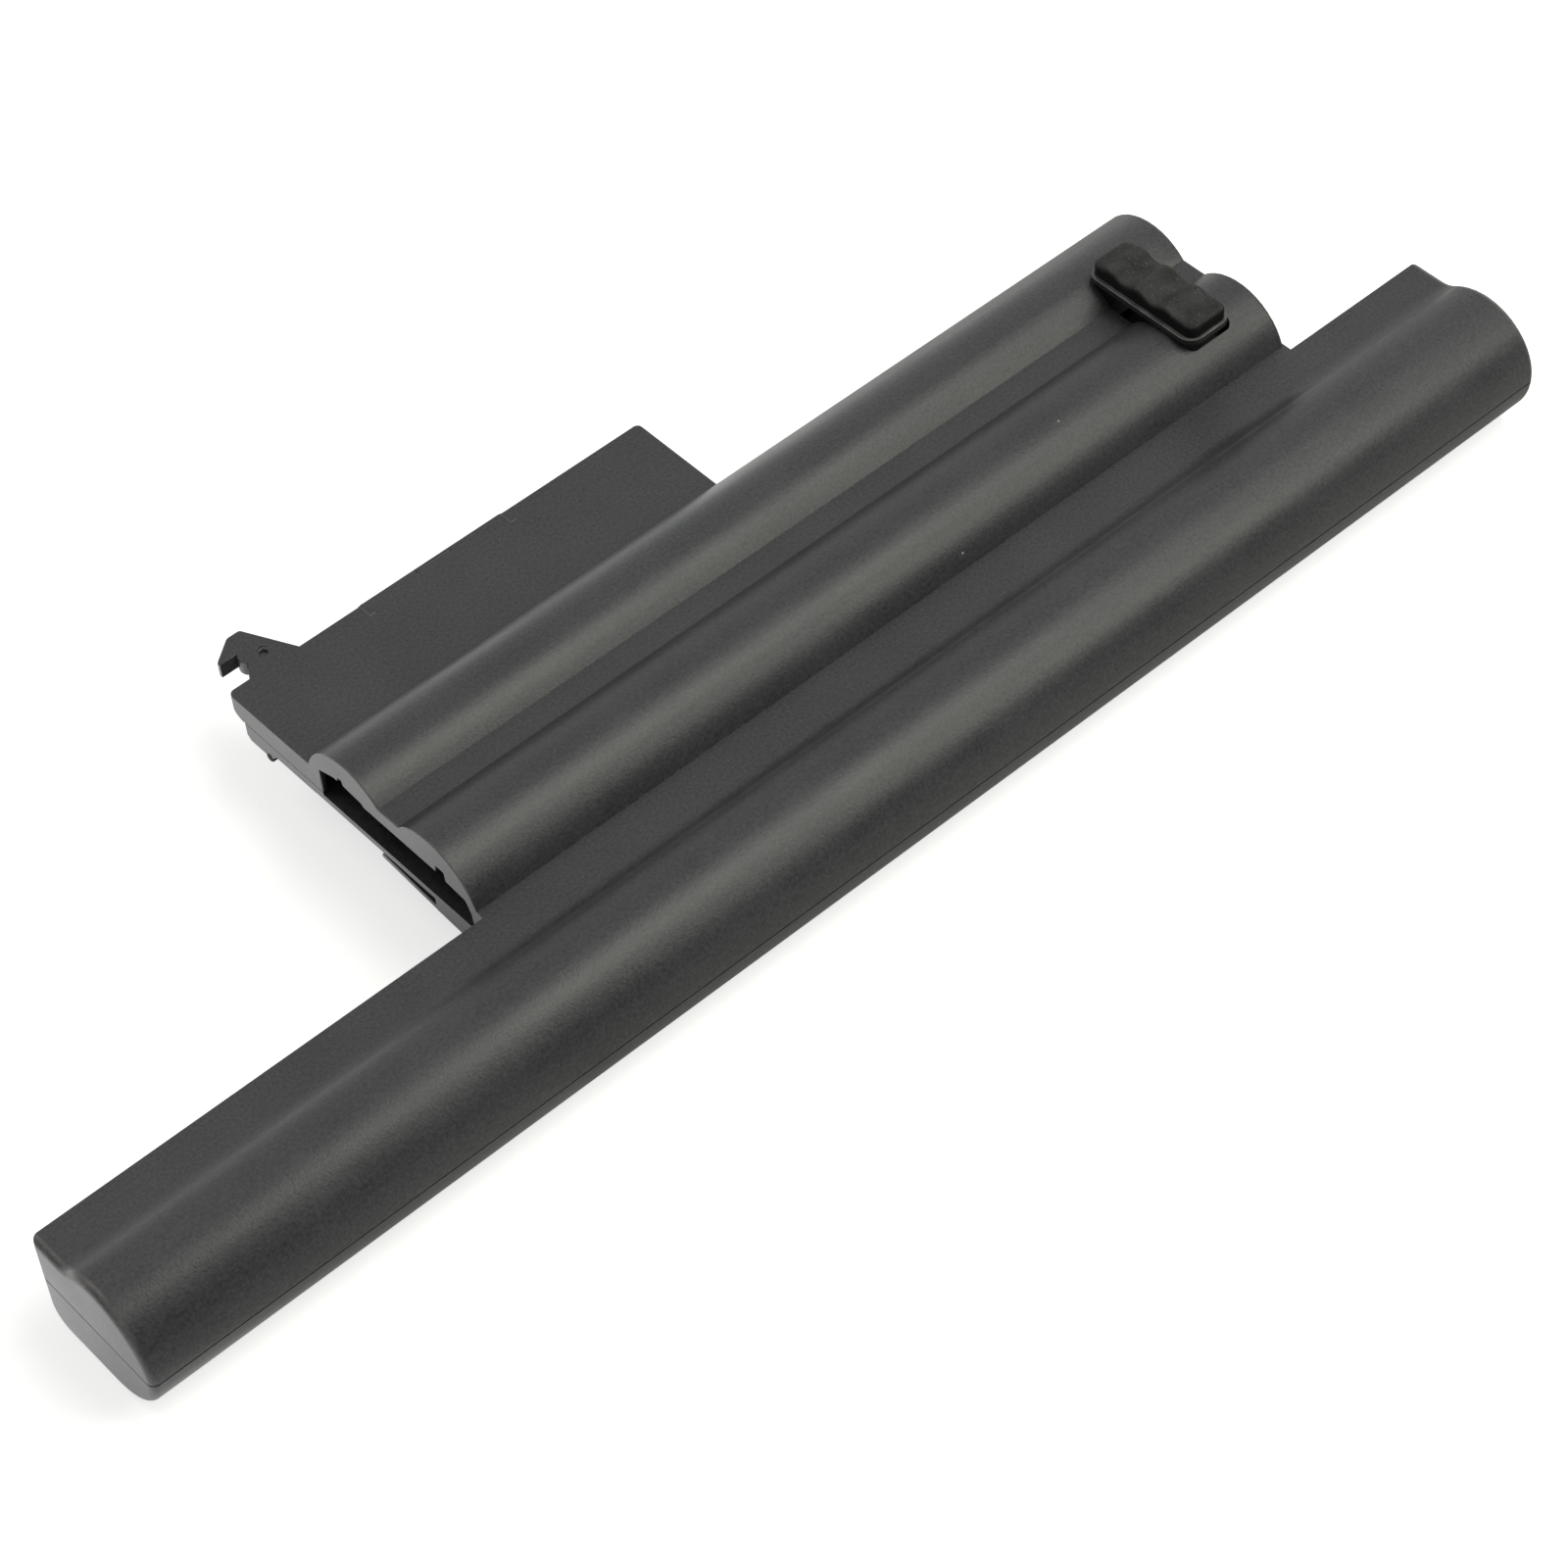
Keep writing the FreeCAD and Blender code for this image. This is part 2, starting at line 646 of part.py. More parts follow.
def wing_section(left, rear, wall):
    """The wing's tray up to the seam: a shelf beside the block, a short slope and the lower floor."""
    return [
        (left, f"wing_shelf + {wall}"),
        (shelf_end, f"wing_shelf + {wall}"),
        (foot_line, f"wing_floor + {wall}"),
        (f"{rear} - tray_edge", f"wing_floor + {wall}"),
        (rear, f"wing_floor + {wall} + tray_edge"),
        (rear, "block_seam"),
        (left, "block_seam"),
    ]


def make_lower_shell():
    """The tray under the cells, the wing's floor, and the spring tongue under the open end."""
    shell = new_body("lower_shell")
    side = block_side
    full = f"2 * {bar_half}"
    bar_end = number(bar_half)
    add(shell, "bar_tray", "YZ", f"-{bar_half}", full, bar_bottom("0"))
    soften(shell, "bar_foot_rounds", "bar_foot_edge", lambda edge:
           (in_plane(edge, "X", bar_end) or in_plane(edge, "X", -bar_end))
           and edge.BoundBox.ZMin < number("bar_seam") - 0.01)
    add(shell, "block_tray", "YZ", cavity_end, f"{block_end} - {cavity_end}",
        block_tray("0", bar_inner))
    add(shell, "end_slab", "YZ", "block_start", "cavity_depth + block_wall", [
        (bar_inner, "mouth_sill - floor_slab"),
        (side, "mouth_sill - floor_slab"),
        (side, "block_seam"),
        (mouth_right, "block_seam"),
        (mouth_right, "mouth_sill"),
        (mouth_left, "mouth_sill"),
        (mouth_left, "block_seam"),
        (bar_inner, "block_seam"),
    ])
    add(shell, "end_root", "YZ", "block_start", "cavity_depth + block_wall", [
        (bar_inner, "root_height"),
        (f"{root_end}", "root_height + root_slope"),
        (f"{root_end}", "mouth_sill - floor_slab / 2"),
        (bar_inner, "mouth_sill - floor_slab / 2"),
    ])
    add(shell, "end_tongue", "YZ", "block_start", "cavity_depth - block_wall", [
        (f"{root_end} - tongue_thickness", tongue_base),
        (f"{root_end} + tongue_length", f"{tongue_base} + tongue_rise"),
        (f"{root_end} + tongue_length", f"{tongue_base} + tongue_rise + tongue_thickness",
         "0.51 * tongue_thickness", "left"),
        (f"{root_end} - tongue_thickness", f"{tongue_base} + tongue_thickness"),
    ])
    add(shell, "wing_tray", "YZ", "block_start", "wing_length",
        wing_section(f"{side} - block_wall", tray_rear, "0"))
    add(shell, "wing_foot", "YZ", "block_start", "foot_length", box_corners(
        foot_line, "wing_floor - foot_height", f"{foot_line} + foot_width", "wing_floor + block_wall / 2"))
    cut(shell, "bar_room", "YZ", f"-{bar_half} + bar_wall", f"{full} - 2 * bar_wall",
        bar_bottom("bar_wall"))
    cut(shell, "cells_room", "YZ", cells_start, f"{cells_end} - {cells_start}",
        block_tray("block_wall", f"{bar_inner} - 1.1 * bar_wall"))
    cut(shell, "latch_room", "YZ", latch_start, "latch_room",
        block_tray("block_wall", f"{near_axis} - {hump_radius} + block_wall"))
    cut(shell, "wing_room", "YZ", cells_start, f"{wing_end} - block_wall - {cells_start}",
        wing_section(f"{side} - 2 * block_wall", f"{tray_rear} - block_wall", "block_wall"))
    cut(shell, "wing_end_room", "YZ", "block_start + block_wall", "cavity_depth + block_wall",
        wing_section(f"{side} + block_wall", f"{tray_rear} - block_wall", "block_wall"))
    cut(shell, "connector_notch", "YZ", f"{connector_left} - joint_gap", "connector_length + 2 * joint_gap",
        box_corners(board_far, "connector_floor - joint_gap",
                    f"{wing_rear} + 1", "block_seam + 1"))
    return shell


def make_cell(name, start, across, up, turned):
    """One round cell along X, its rim and positive cap at the far end or, turned, at the near one."""
    cell = new_body(name)
    can = "cell_length - cap_height"
    profile = outline(cell, name + "_profile", "XY", "0", [
        ("0", "0"),
        ("cell_length", "0"),
        ("cell_length", "cap_radius"),
        (can, "cap_radius"),
        (can, f"{cell_radius} - rim_depth"),
        (f"{can} - rim_width", cell_radius),
        ("0", cell_radius),
    ])
    turn = cell.newObject("PartDesign::Revolution", name + "_turn")
    turn.Profile = profile
    turn.ReferenceAxis = (profile, ["H_Axis"])
    turn.Angle = 360
    if turned:
        cell.Placement.Rotation = FreeCAD.Rotation(FreeCAD.Vector(0, 0, 1), 180)
    bind(cell, "Placement.Base.x", f"{start} + cell_length" if turned else start)
    bind(cell, "Placement.Base.y", across)
    bind(cell, "Placement.Base.z", up)
    return cell


def make_ring(name, start, across, up, turned):
    """The paper ring that insulates the edge of a can from the link on its cap."""
    ring = new_body(name)
    edge = f"{start} + cap_height - ring_thickness" if turned else f"{start} + cell_length - cap_height"
    add(ring, name + "_paper", "YZ", edge, "ring_thickness", [(across, up, f"{cell_radius} - ring_margin")])
    cut(ring, name + "_hole", "YZ", f"{edge} - 1", "ring_thickness + 2", [(across, up, "ring_hole")])
    return ring


def leaf_outline(low, high, up, arms):
    """A link's face across Y and Z, with an arm at each end that the arms name, at their heights."""
    half = "link_height / 2"
    corners = [(low, f"{up} - {half}"), (high, f"{up} - {half}")]
    if "far" in arms:
        reach, level = arms["far"]
        top = f"{level} + arm_height"
        corners += [(high, level), (reach, level), (reach, top), (high, top)]
    corners += [(high, f"{up} + {half}"), (low, f"{up} + {half}")]
    if "near" in arms:
        reach, level = arms["near"]
        top = f"{level} + arm_height"
        corners += [(low, top), (reach, top), (reach, level), (low, level)]
    return corners


def make_link(name, start, low, high, up, arms, folded):
    """A nickel link at a cell's end, or one folded over to reach both ends across a gap."""
    link = new_body(name)
    add(link, name + "_leaf", "YZ", start, "link_thickness", leaf_outline(low, high, up, arms))
    if folded:
        add(link, name + "_other_leaf", "YZ", f"{start} + cell_gap - link_thickness", "link_thickness",
            leaf_outline(low, high, up, {}))
        add(link, name + "_fold", "YZ", f"{start} + link_thickness / 2", "cell_gap - link_thickness",
            box_corners(low, f"{up} + link_height / 2 - link_thickness", high, f"{up} + link_height / 2"))
    return link


def make_connector_housing():
    """The moulded housing on the board's edge, its blade slots open to the wing's rear."""
    housing = new_body("connector_housing")
    add(housing, "housing_block", "YZ", connector_left, "connector_length", [
        (f"{wing_rear} - connector_depth", board_top),
        (f"{board_far} + joint_gap", board_top),
        (f"{board_far} + joint_gap", "connector_floor"),
        (wing_rear, "connector_floor"),
        (wing_rear, connector_roof),
        (f"{wing_rear} - connector_depth", connector_roof),
    ])
    first = f"({connector_middle} - contact_pitch * (contact_count - 1) / 2)"
    slot = cut(housing, "blade_slot", "XZ", f"{wing_rear} - slot_depth", "slot_depth + 1", box_corners(
        f"{first} - slot_width / 2", slot_low, f"{first} + slot_width / 2", slot_high))
    repeat(housing, "blade_slots", slot, "X_Axis", "contact_pitch * (contact_count - 1)", "contact_count")
    return housing


def make_contacts():
    """A pair of sprung leaves in each blade slot."""
    contacts = new_body("connector_contacts")
    first = f"({connector_middle} - contact_pitch * (contact_count - 1) / 2)"
    leaves = []
    for name, left in (
        ("near_leaf", f"{first} - slot_width / 2"),
        ("far_leaf", f"{first} + slot_width / 2 - leaf_thickness"),
    ):
        face = box_corners(left, f"{slot_low} + leaf_margin",
                           f"{left} + leaf_thickness", f"{slot_high} - leaf_margin")
        leaves.append(add(contacts, name, "XZ", f"{wing_rear} - slot_depth",
                          "slot_depth - leaf_margin", face))
    pattern = repeat(contacts, "leaf_pairs", leaves[0], "X_Axis",
                     "contact_pitch * (contact_count - 1)", "contact_count")
    pattern.Originals = leaves
    doc.recompute()
    return contacts


def make_latch_knob():
    """The flange over the recess, its stem down to the slide, and the tenon that locks into it."""
    knob = new_body("latch_knob")
    add(knob, "flange", "XY", flange_base, "flange_thickness", round_corners(
        flange_left, f"{latch_centre} - flange_length / 2",
        f"{flange_left} + flange_width", f"{latch_centre} + flange_length / 2", "flange_corner"))
    add(knob, "stem", "XY", plate_top, f"{flange_base} - {plate_top}", box_corners(
        stem_left, f"{latch_centre} - stem_length / 2",
        f"{stem_left} + stem_width", f"{latch_centre} + stem_length / 2"))
    add(knob, "tenon", "XY", plate_base, "plate_thickness", tenon_outline())
    return knob


def tenon_outline():
    return box_corners(
        f"{stem_left} + tenon_step", f"{latch_centre} - stem_length / 2 + tenon_step",
        f"{stem_left} + stem_width - tenon_step", f"{latch_centre} + stem_length / 2 - tenon_step")


def make_latch_grip():
    """The soft finger grip on the flange, with three waves along its length."""
    grip = new_body("latch_grip")
    low = f"({flange_base} + flange_thickness)"
    middle = f"({low} + grip_height - wave_depth / 2)"
    crest = f"({latch_centre} + wave_shift)"
    half = "(flange_length / 2 - grip_end_margin)"
    bend = "(((wave_pitch / 4)^2 + (wave_depth / 2)^2) / wave_depth)"
    add(grip, "grip_block", "YZ", f"{flange_left} + grip_margin", "flange_width - 2 * grip_margin", [
        (f"{latch_centre} - {half}", low),
        (f"{latch_centre} + {half}", low),
        (f"{latch_centre} + {half}", middle),
        (f"{crest} + 1.25 * wave_pitch", middle),
        (f"{crest} + 0.75 * wave_pitch", middle, bend, "left"),
        (f"{crest} + 0.25 * wave_pitch", middle, bend, "right"),
        (f"{crest} - 0.25 * wave_pitch", middle, bend, "left"),
        (f"{crest} - 0.75 * wave_pitch", middle, bend, "right"),
        (f"{crest} - 1.25 * wave_pitch", middle, bend, "left"),
        (f"{latch_centre} - {half}", middle),
    ])
    ends = (number(f"{latch_centre} - {half}"), number(f"{latch_centre} + {half}"))
    soften(grip, "grip_corners", "grip_corner", lambda edge:
           (in_plane(edge, "Y", ends[0]) or in_plane(edge, "Y", ends[1]))
           and edge.BoundBox.ZLength > number("grip_height") / 2)
    return grip


def make_latch_slide():
    """The plate that runs under the recess, with its bolt and the two notches of its rest places."""
    slide = new_body("latch_slide")
    add(slide, "plate", "XY", plate_base, "plate_thickness", box_corners(
        plate_left, f"{plate_middle} - plate_length / 2",
        f"{plate_left} + plate_width", f"{plate_middle} + plate_length / 2"))
    add(slide, "bolt", "XY", f"{plate_top} - bolt_height", "bolt_height", [
        (f"{plate_left} + plate_width - 1.5", f"{latch_centre} - bolt_width / 2"),
        (f"{block_end} + bolt_reach", f"{latch_centre} - bolt_width / 2"),
        (f"{block_end} + bolt_reach", f"{latch_centre} + bolt_width / 2 - bolt_ramp"),
        (f"{block_end} + bolt_reach - bolt_ramp", f"{latch_centre} + bolt_width / 2"),
        (f"{plate_left} + plate_width - 1.5", f"{latch_centre} + bolt_width / 2"),
    ])
    cut(slide, "tenon_hole", "XY", f"{plate_base} - 1", "plate_thickness + 2", tenon_outline())
    open_across = f"({crest_across} + latch_travel)"
    for name, across in (("locked_notch", crest_across), ("open_notch", open_across)):
        cut(slide, name, "XZ", f"{plate_middle} - plate_length / 2 - 1", "plate_length + 2", [
            (f"{across} - detent_width", f"{plate_base} - 0.1"),
            (f"{across} + detent_width", f"{plate_base} - 0.1"),
            (across, f"{plate_base} + detent_depth"),
        ])
    return slide


def make_latch_guide():
    """The bracket on the tray's floor, with a ledge under each edge of the slide."""
    guide = new_body("latch_guide")
    inner = "(plate_length / 2 + slide_clearance)"
    outer = f"({inner} + guide_wall)"
    ledge_top = f"({plate_base} - slide_clearance)"
    add(guide, "bracket", "YZ", f"{latch_start} + 0.5", "latch_room - 1", [
        (f"{plate_middle} - {outer}", tray_floor),
        (f"{plate_middle} + {outer}", tray_floor),
        (f"{plate_middle} + {outer}", plate_top),
        (f"{plate_middle} + {inner}", plate_top),
        (f"{plate_middle} + {inner}", ledge_top),
        (f"{plate_middle} + {inner} - guide_ledge", ledge_top),
        (f"{plate_middle} + {inner} - guide_ledge", f"{ledge_top} - guide_wall"),
        (f"{plate_middle} + {inner}", f"{ledge_top} - guide_wall"),
        (f"{plate_middle} + {inner}", f"{tray_floor} + guide_wall"),
        (f"{plate_middle} - {inner}", f"{tray_floor} + guide_wall"),
        (f"{plate_middle} - {inner}", f"{ledge_top} - guide_wall"),
        (f"{plate_middle} - {inner} + guide_ledge", f"{ledge_top} - guide_wall"),
        (f"{plate_middle} - {inner} + guide_ledge", ledge_top),
        (f"{plate_middle} - {inner}", ledge_top),
        (f"{plate_middle} - {inner}", plate_top),
        (f"{plate_middle} - {outer}", plate_top),
    ])
    return guide


def make_detent_spring():
    """The bent steel leaf whose crest finds the slide's notches."""
    spring = new_body("detent_spring")
    base = f"({tray_floor} + guide_wall)"
    top = f"({plate_base} - slide_clearance / 2)"
    leg = f"({crest_across} + 3.4)"
    add(spring, "bent_leaf", "XZ", f"{plate_middle} + spring_offset - spring_width / 2", "spring_width", [
        (leg, base),
        (f"{leg} + 3.2", base),
        (f"{leg} + 3.2", f"{base} + spring_thickness"),
        (f"{leg} + spring_thickness", f"{base} + spring_thickness"),
        (f"{leg} + spring_thickness", f"{top} - 1.6"),
        (crest_across, top),
        (f"{crest_across} - 2.6", f"{top} - 1.3"),
        (f"{crest_across} - 2.6", f"{top} - 1.3 - spring_thickness"),
        (crest_across, f"{top} - 1.1 * spring_thickness"),
        (leg, f"{top} - 1.6 - spring_thickness"),
    ])
    return spring


cells = [
    (f"-{bar_half} + bar_wall + cell_gap", "0", bar_radius, False),
    (f"-{bar_half} + bar_wall + 2 * cell_gap + cell_length", "0", bar_radius, True),
    ("cell_gap / 2", "0", bar_radius, False),
    ("1.5 * cell_gap + cell_length", "0", bar_radius, True),
    (f"{cells_start} + cell_gap", near_axis, hump_height, False),
    (f"{cells_start} + 2 * cell_gap + cell_length", near_axis, hump_height, False),
    (f"{cells_start} + cell_gap", far_axis, hump_height, False),
    (f"{cells_start} + 2 * cell_gap + cell_length", far_axis, hump_height, False),
]
parts = [make_upper_shell(), make_lower_shell()]
for place, cell in enumerate(cells, 1):
    parts.append(make_cell(f"cell_{place}", *cell))
    parts.append(make_ring(f"cap_ring_{place}", *cell))

channel = f"({cell_radius} + bar_clearance + channel_width / 2)"
strip_level = f"({hump_height} - link_height / 2 + arm_margin)"
near_arm = {"near": (f"{channel} + link_thickness", strip_level)}
board_arm = {"far": (board_near, board_base)}
bar_low = "-link_height / 2"
bar_arm = {"far": (channel, strip_level)}
block_low = f"{near_axis} - link_height / 2"
block_high = f"{far_axis} + link_height / 2"
parts += [
    make_link("bar_link_left", f"-{bar_half} + bar_wall + cell_gap - link_thickness",
              bar_low, "link_height / 2", bar_radius, bar_arm, False),
    make_link("bar_link_second", f"-{bar_half} + bar_wall + cell_gap + cell_length",
              bar_low, "link_height / 2", bar_radius, {}, True),
    make_link("bar_link_middle", "-cell_gap / 2", bar_low, "link_height / 2", bar_radius, bar_arm, True),
    make_link("bar_link_fourth", "cell_gap / 2 + cell_length",
              bar_low, "link_height / 2", bar_radius, {}, True),
    make_link("bar_link_right", f"{bar_half} - bar_wall - cell_gap",
              bar_low, "link_height / 2", bar_radius, bar_arm, False),
    make_link("block_link_left", f"{cells_start} + cell_gap - link_thickness",
              block_low, block_high, hump_height, {**near_arm, **board_arm}, False),
    make_link("block_link_middle", f"{cells_start} + cell_gap + cell_length",
              block_low, block_high, hump_height, {**near_arm, **board_arm}, True),
    make_link("block_link_right", f"{cells_end} - cell_gap",
              block_low, block_high, hump_height, near_arm, False),
]
left_strip = f"-{bar_half} + bar_wall + cell_gap - link_thickness"
left_end = f"{cells_start} + cell_gap"
middle_end = f"{cells_start} + cell_gap + cell_length + link_thickness"
right_strip = f"{cells_end} - cell_gap"
right_end = f"{bar_half} - bar_wall - cell_gap + link_thickness"
parts_left = f"{board_start} + 2 * part_margin"
parts_right = f"{connector_right} + 8 * part_margin"
parts += [
    box_part("left_strip", (left_strip, channel, strip_level),
             (f"{left_end} - ({left_strip})", "link_thickness", "arm_height")),
    box_part("middle_strip", ("-cell_gap / 2", channel, strip_level),
             (f"{middle_end} + cell_gap / 2", "link_thickness", "arm_height")),
    box_part("right_strip", (right_strip, channel, strip_level),
             (f"{right_end} - ({right_strip})", "link_thickness", "arm_height")),
    box_part("bar_tape", (f"-{bar_half} + bar_wall + cell_gap", "0", "bar_wall"),
             ("4 * cell_length + 3 * cell_gap", "tape_width", "bar_clearance")),
    box_part("near_tape", (f"{cells_start} + cell_gap", near_axis + " - tape_width / 2", tray_floor),
             ("2 * cell_length + cell_gap", "tape_width", "block_clearance")),
    box_part("far_tape", (f"{cells_start} + cell_gap", far_axis + " - tape_width / 2", tray_floor),
             ("2 * cell_length + cell_gap", "tape_width", "block_clearance")),
    box_part("circuit_board", (board_start, board_near, board_base),
             (f"{wing_end} - block_wall - board_margin / 2 - {board_start}",
              f"{board_far} - {board_near}", "board_thickness")),
    box_part("gauge_chip", (parts_right, f"{board_near} + 2 * part_margin", board_top),
             ("chip_side", "chip_side", "chip_height")),
    box_part("switch_transistor_1", (parts_left, f"{board_near} + part_margin", board_top),
             ("transistor_length", "transistor_width", "chip_height")),
    box_part("switch_transistor_2",
             (parts_left, f"{board_near} + 2 * part_margin + transistor_width", board_top),
             ("transistor_length", "transistor_width", "chip_height")),
    box_part("fuse", (parts_right, f"{board_near} + 2.6 * part_margin + chip_side", board_top),
             ("fuse_length", "fuse_width", "chip_height")),
    box_part("shunt_resistor", (f"{connector_middle} - shunt_length / 2", f"{board_near} + part_margin / 2",
                                board_top),
             ("shunt_length", "shunt_width", "chip_height / 2")),
    make_connector_housing(),
    make_contacts(),
    make_latch_knob(),
    make_latch_grip(),
    make_latch_slide(),
    make_latch_guide(),
    make_detent_spring(),
]

doc.recompute()
for thing in doc.Objects:
    if "Invalid" in thing.State or "Error" in thing.State:
        raise RuntimeError(f"{thing.Name} did not build: {thing.State}")
for part in parts:
    if part.Shape.isNull() or not part.Shape.isValid():
        raise RuntimeError(f"{part.Label} has no sound shape")
os.makedirs("parts", exist_ok=True)
for part in parts:
    part.Shape.exportStep(f"parts/{part.Label}.step")
print(len(parts), "sub-parts written")
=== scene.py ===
# %% [markdown]
# A laptop battery pack, dressed for a studio picture. The real object is a long bar that holds four
# round cells in a row, a block beside it with two more rows, a thin wing with the connector, and a slide
# latch with a rubber grip. The measured solids are loaded first and stay where they are. Each outer one
# then gets a finished piece in its place, and the hidden ones get a material only. Blender works in
# metres, so a size that reads better in millimetres is multiplied by MM.

# %% Load the measured solids
import json
import math

import bmesh
import bpy
from mathutils import Matrix, Vector

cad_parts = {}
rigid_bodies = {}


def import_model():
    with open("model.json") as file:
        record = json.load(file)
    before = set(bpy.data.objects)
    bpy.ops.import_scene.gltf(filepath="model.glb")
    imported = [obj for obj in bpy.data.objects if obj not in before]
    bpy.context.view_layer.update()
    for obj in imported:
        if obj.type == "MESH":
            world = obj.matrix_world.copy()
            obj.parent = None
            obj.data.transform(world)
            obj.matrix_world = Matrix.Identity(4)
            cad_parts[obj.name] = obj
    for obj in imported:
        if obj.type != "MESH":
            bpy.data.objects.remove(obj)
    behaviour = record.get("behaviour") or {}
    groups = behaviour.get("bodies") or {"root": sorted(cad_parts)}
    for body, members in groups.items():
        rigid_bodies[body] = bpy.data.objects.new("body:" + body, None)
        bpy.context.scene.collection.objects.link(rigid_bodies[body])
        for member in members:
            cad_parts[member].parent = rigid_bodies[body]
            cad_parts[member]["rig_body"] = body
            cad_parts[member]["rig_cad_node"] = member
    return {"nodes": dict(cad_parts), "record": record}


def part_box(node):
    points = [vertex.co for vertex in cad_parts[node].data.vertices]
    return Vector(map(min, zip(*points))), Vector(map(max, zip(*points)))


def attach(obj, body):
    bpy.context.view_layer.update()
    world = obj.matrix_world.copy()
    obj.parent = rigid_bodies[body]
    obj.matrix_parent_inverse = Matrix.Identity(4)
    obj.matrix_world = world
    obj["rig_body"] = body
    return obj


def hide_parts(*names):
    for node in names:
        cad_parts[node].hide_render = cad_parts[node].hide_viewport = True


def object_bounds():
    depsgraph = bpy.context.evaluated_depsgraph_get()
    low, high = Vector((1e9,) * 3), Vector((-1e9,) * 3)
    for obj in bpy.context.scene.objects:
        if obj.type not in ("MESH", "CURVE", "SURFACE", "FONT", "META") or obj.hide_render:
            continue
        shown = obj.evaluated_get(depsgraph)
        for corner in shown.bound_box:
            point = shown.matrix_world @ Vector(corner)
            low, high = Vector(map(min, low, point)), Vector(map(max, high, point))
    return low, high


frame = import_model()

solid_low, solid_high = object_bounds()
nodes = frame["nodes"]
MM = 0.001
print("solids", len(nodes), "box in mm", [round(side / MM, 1) for side in solid_high - solid_low])

# %% [markdown]
# Modelling by operator acts on whatever is selected, and the loaded solids arrive selected. So every
# step starts from a clean selection, with one active object. A solid also arrives as a heap of loose
# triangles that must stay as it is. To shape it, a copy is made and merged into one skin with whole
# flat faces, which an inset or a bevel can follow.

# %% Selection and copies
MERGE_REACH = 0.002 * MM
FLAT_WITHIN = math.radians(0.3)


def select_only(*pieces):
    """Makes these objects the whole selection, in object mode, with the first one active."""
    if bpy.context.mode != "OBJECT":
        bpy.ops.object.mode_set(mode="OBJECT")
    bpy.ops.object.select_all(action="DESELECT")
    for piece in pieces:
        piece.select_set(True)
    if pieces:
        bpy.context.view_layer.objects.active = pieces[0]


def copy_solid(name, source):
    """A merged copy of a solid, with the flat faces whole again."""
    select_only(nodes[source])
    bpy.ops.object.duplicate()
    piece = bpy.context.view_layer.objects.active
    piece.parent = None
    piece.matrix_world = Matrix.Identity(4)
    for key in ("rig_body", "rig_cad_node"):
        if key in piece:
            del piece[key]
    piece.name = piece.data.name = name
    piece.data.materials.clear()
    bpy.ops.object.mode_set(mode="EDIT")
    bpy.ops.mesh.select_all(action="SELECT")
    bpy.ops.mesh.remove_doubles(threshold=MERGE_REACH)
    bpy.ops.mesh.dissolve_limited(angle_limit=FLAT_WITHIN)
    bpy.ops.object.mode_set(mode="OBJECT")
    bpy.ops.mesh.customdata_custom_splitnormals_clear()
    print(name, "copied with", len(piece.data.polygons), "faces")
    return piece


# %% [markdown]
# A moulding has no razor edges: a small round on each is what catches the lamps. A bevel on every
# sharp edge at once would be quickest, but a round as wide as a thin slit folds over itself. So edges
# are picked by a rule on their place, as a click would pick them, and each rule has its own width.

# %% Picking and rounding
SAME_PLACE = 0.02


def near(value, level, reach=SAME_PLACE):
    """True where two places in mm agree."""
    return abs(value - level) < reach


def middle_of(part):
    """The middle of an edge or a face, in mm."""
    return sum((vertex.co for vertex in part.verts), Vector()) / len(part.verts) / MM


def open_mesh(piece, kind):
    """Opens a piece in edit mode with nothing selected and hands over its mesh."""
    select_only(piece)
    bpy.ops.object.mode_set(mode="EDIT")
    bpy.ops.mesh.select_mode(type=kind)
    bpy.ops.mesh.select_all(action="DESELECT")
    return bmesh.from_edit_mesh(piece.data)


def pick(piece, kind, rule):
    """Selects the edges or faces whose middle fits a rule."""
    mesh = open_mesh(piece, kind)
    for part in (mesh.edges if kind == "EDGE" else mesh.faces):
        part.select_set(bool(rule(middle_of(part))))
    bmesh.update_edit_mesh(piece.data)


def round_edges(piece, width, rule, segments=3, angle=28):
    """Bevels the outward edges that are sharper than an angle and fit a rule, and remembers the round."""
    mesh = open_mesh(piece, "EDGE")
    for edge in mesh.edges:
        if edge.is_manifold and edge.is_convex and edge.calc_face_angle() > math.radians(angle):
            edge.select_set(bool(rule(middle_of(edge))))
    bmesh.update_edit_mesh(piece.data)
    count = sum(edge.select for edge in mesh.edges)
    if count:
        bpy.ops.mesh.bevel(offset=width, segments=segments, profile=0.5, affect="EDGES",
                           clamp_overlap=False, miter_outer="ARC")
    bpy.ops.object.mode_set(mode="OBJECT")
    rims = piece.vertex_groups.get("rims") or piece.vertex_groups.new(name="rims")
    rims.add([vertex.index for vertex in piece.data.vertices if vertex.select], 1.0, "REPLACE")
    print(piece.name, "rounded", count, "edges to", round(width / MM, 2), "mm")


# %% [markdown]
# The points of a round are remembered in the group "rims" for two uses. Smooth shading would bend the
# light on the flat faces beside a round, so the normals there are weighted by the size of the face. And
# the middle of a round gets a painted highlight, a paler colour that an attribute of the points tells
# the material. A second group gives points such a share of painted highlight directly.

# %% Shading and painted edge highlights
SMOOTH_ANGLE = math.radians(35)


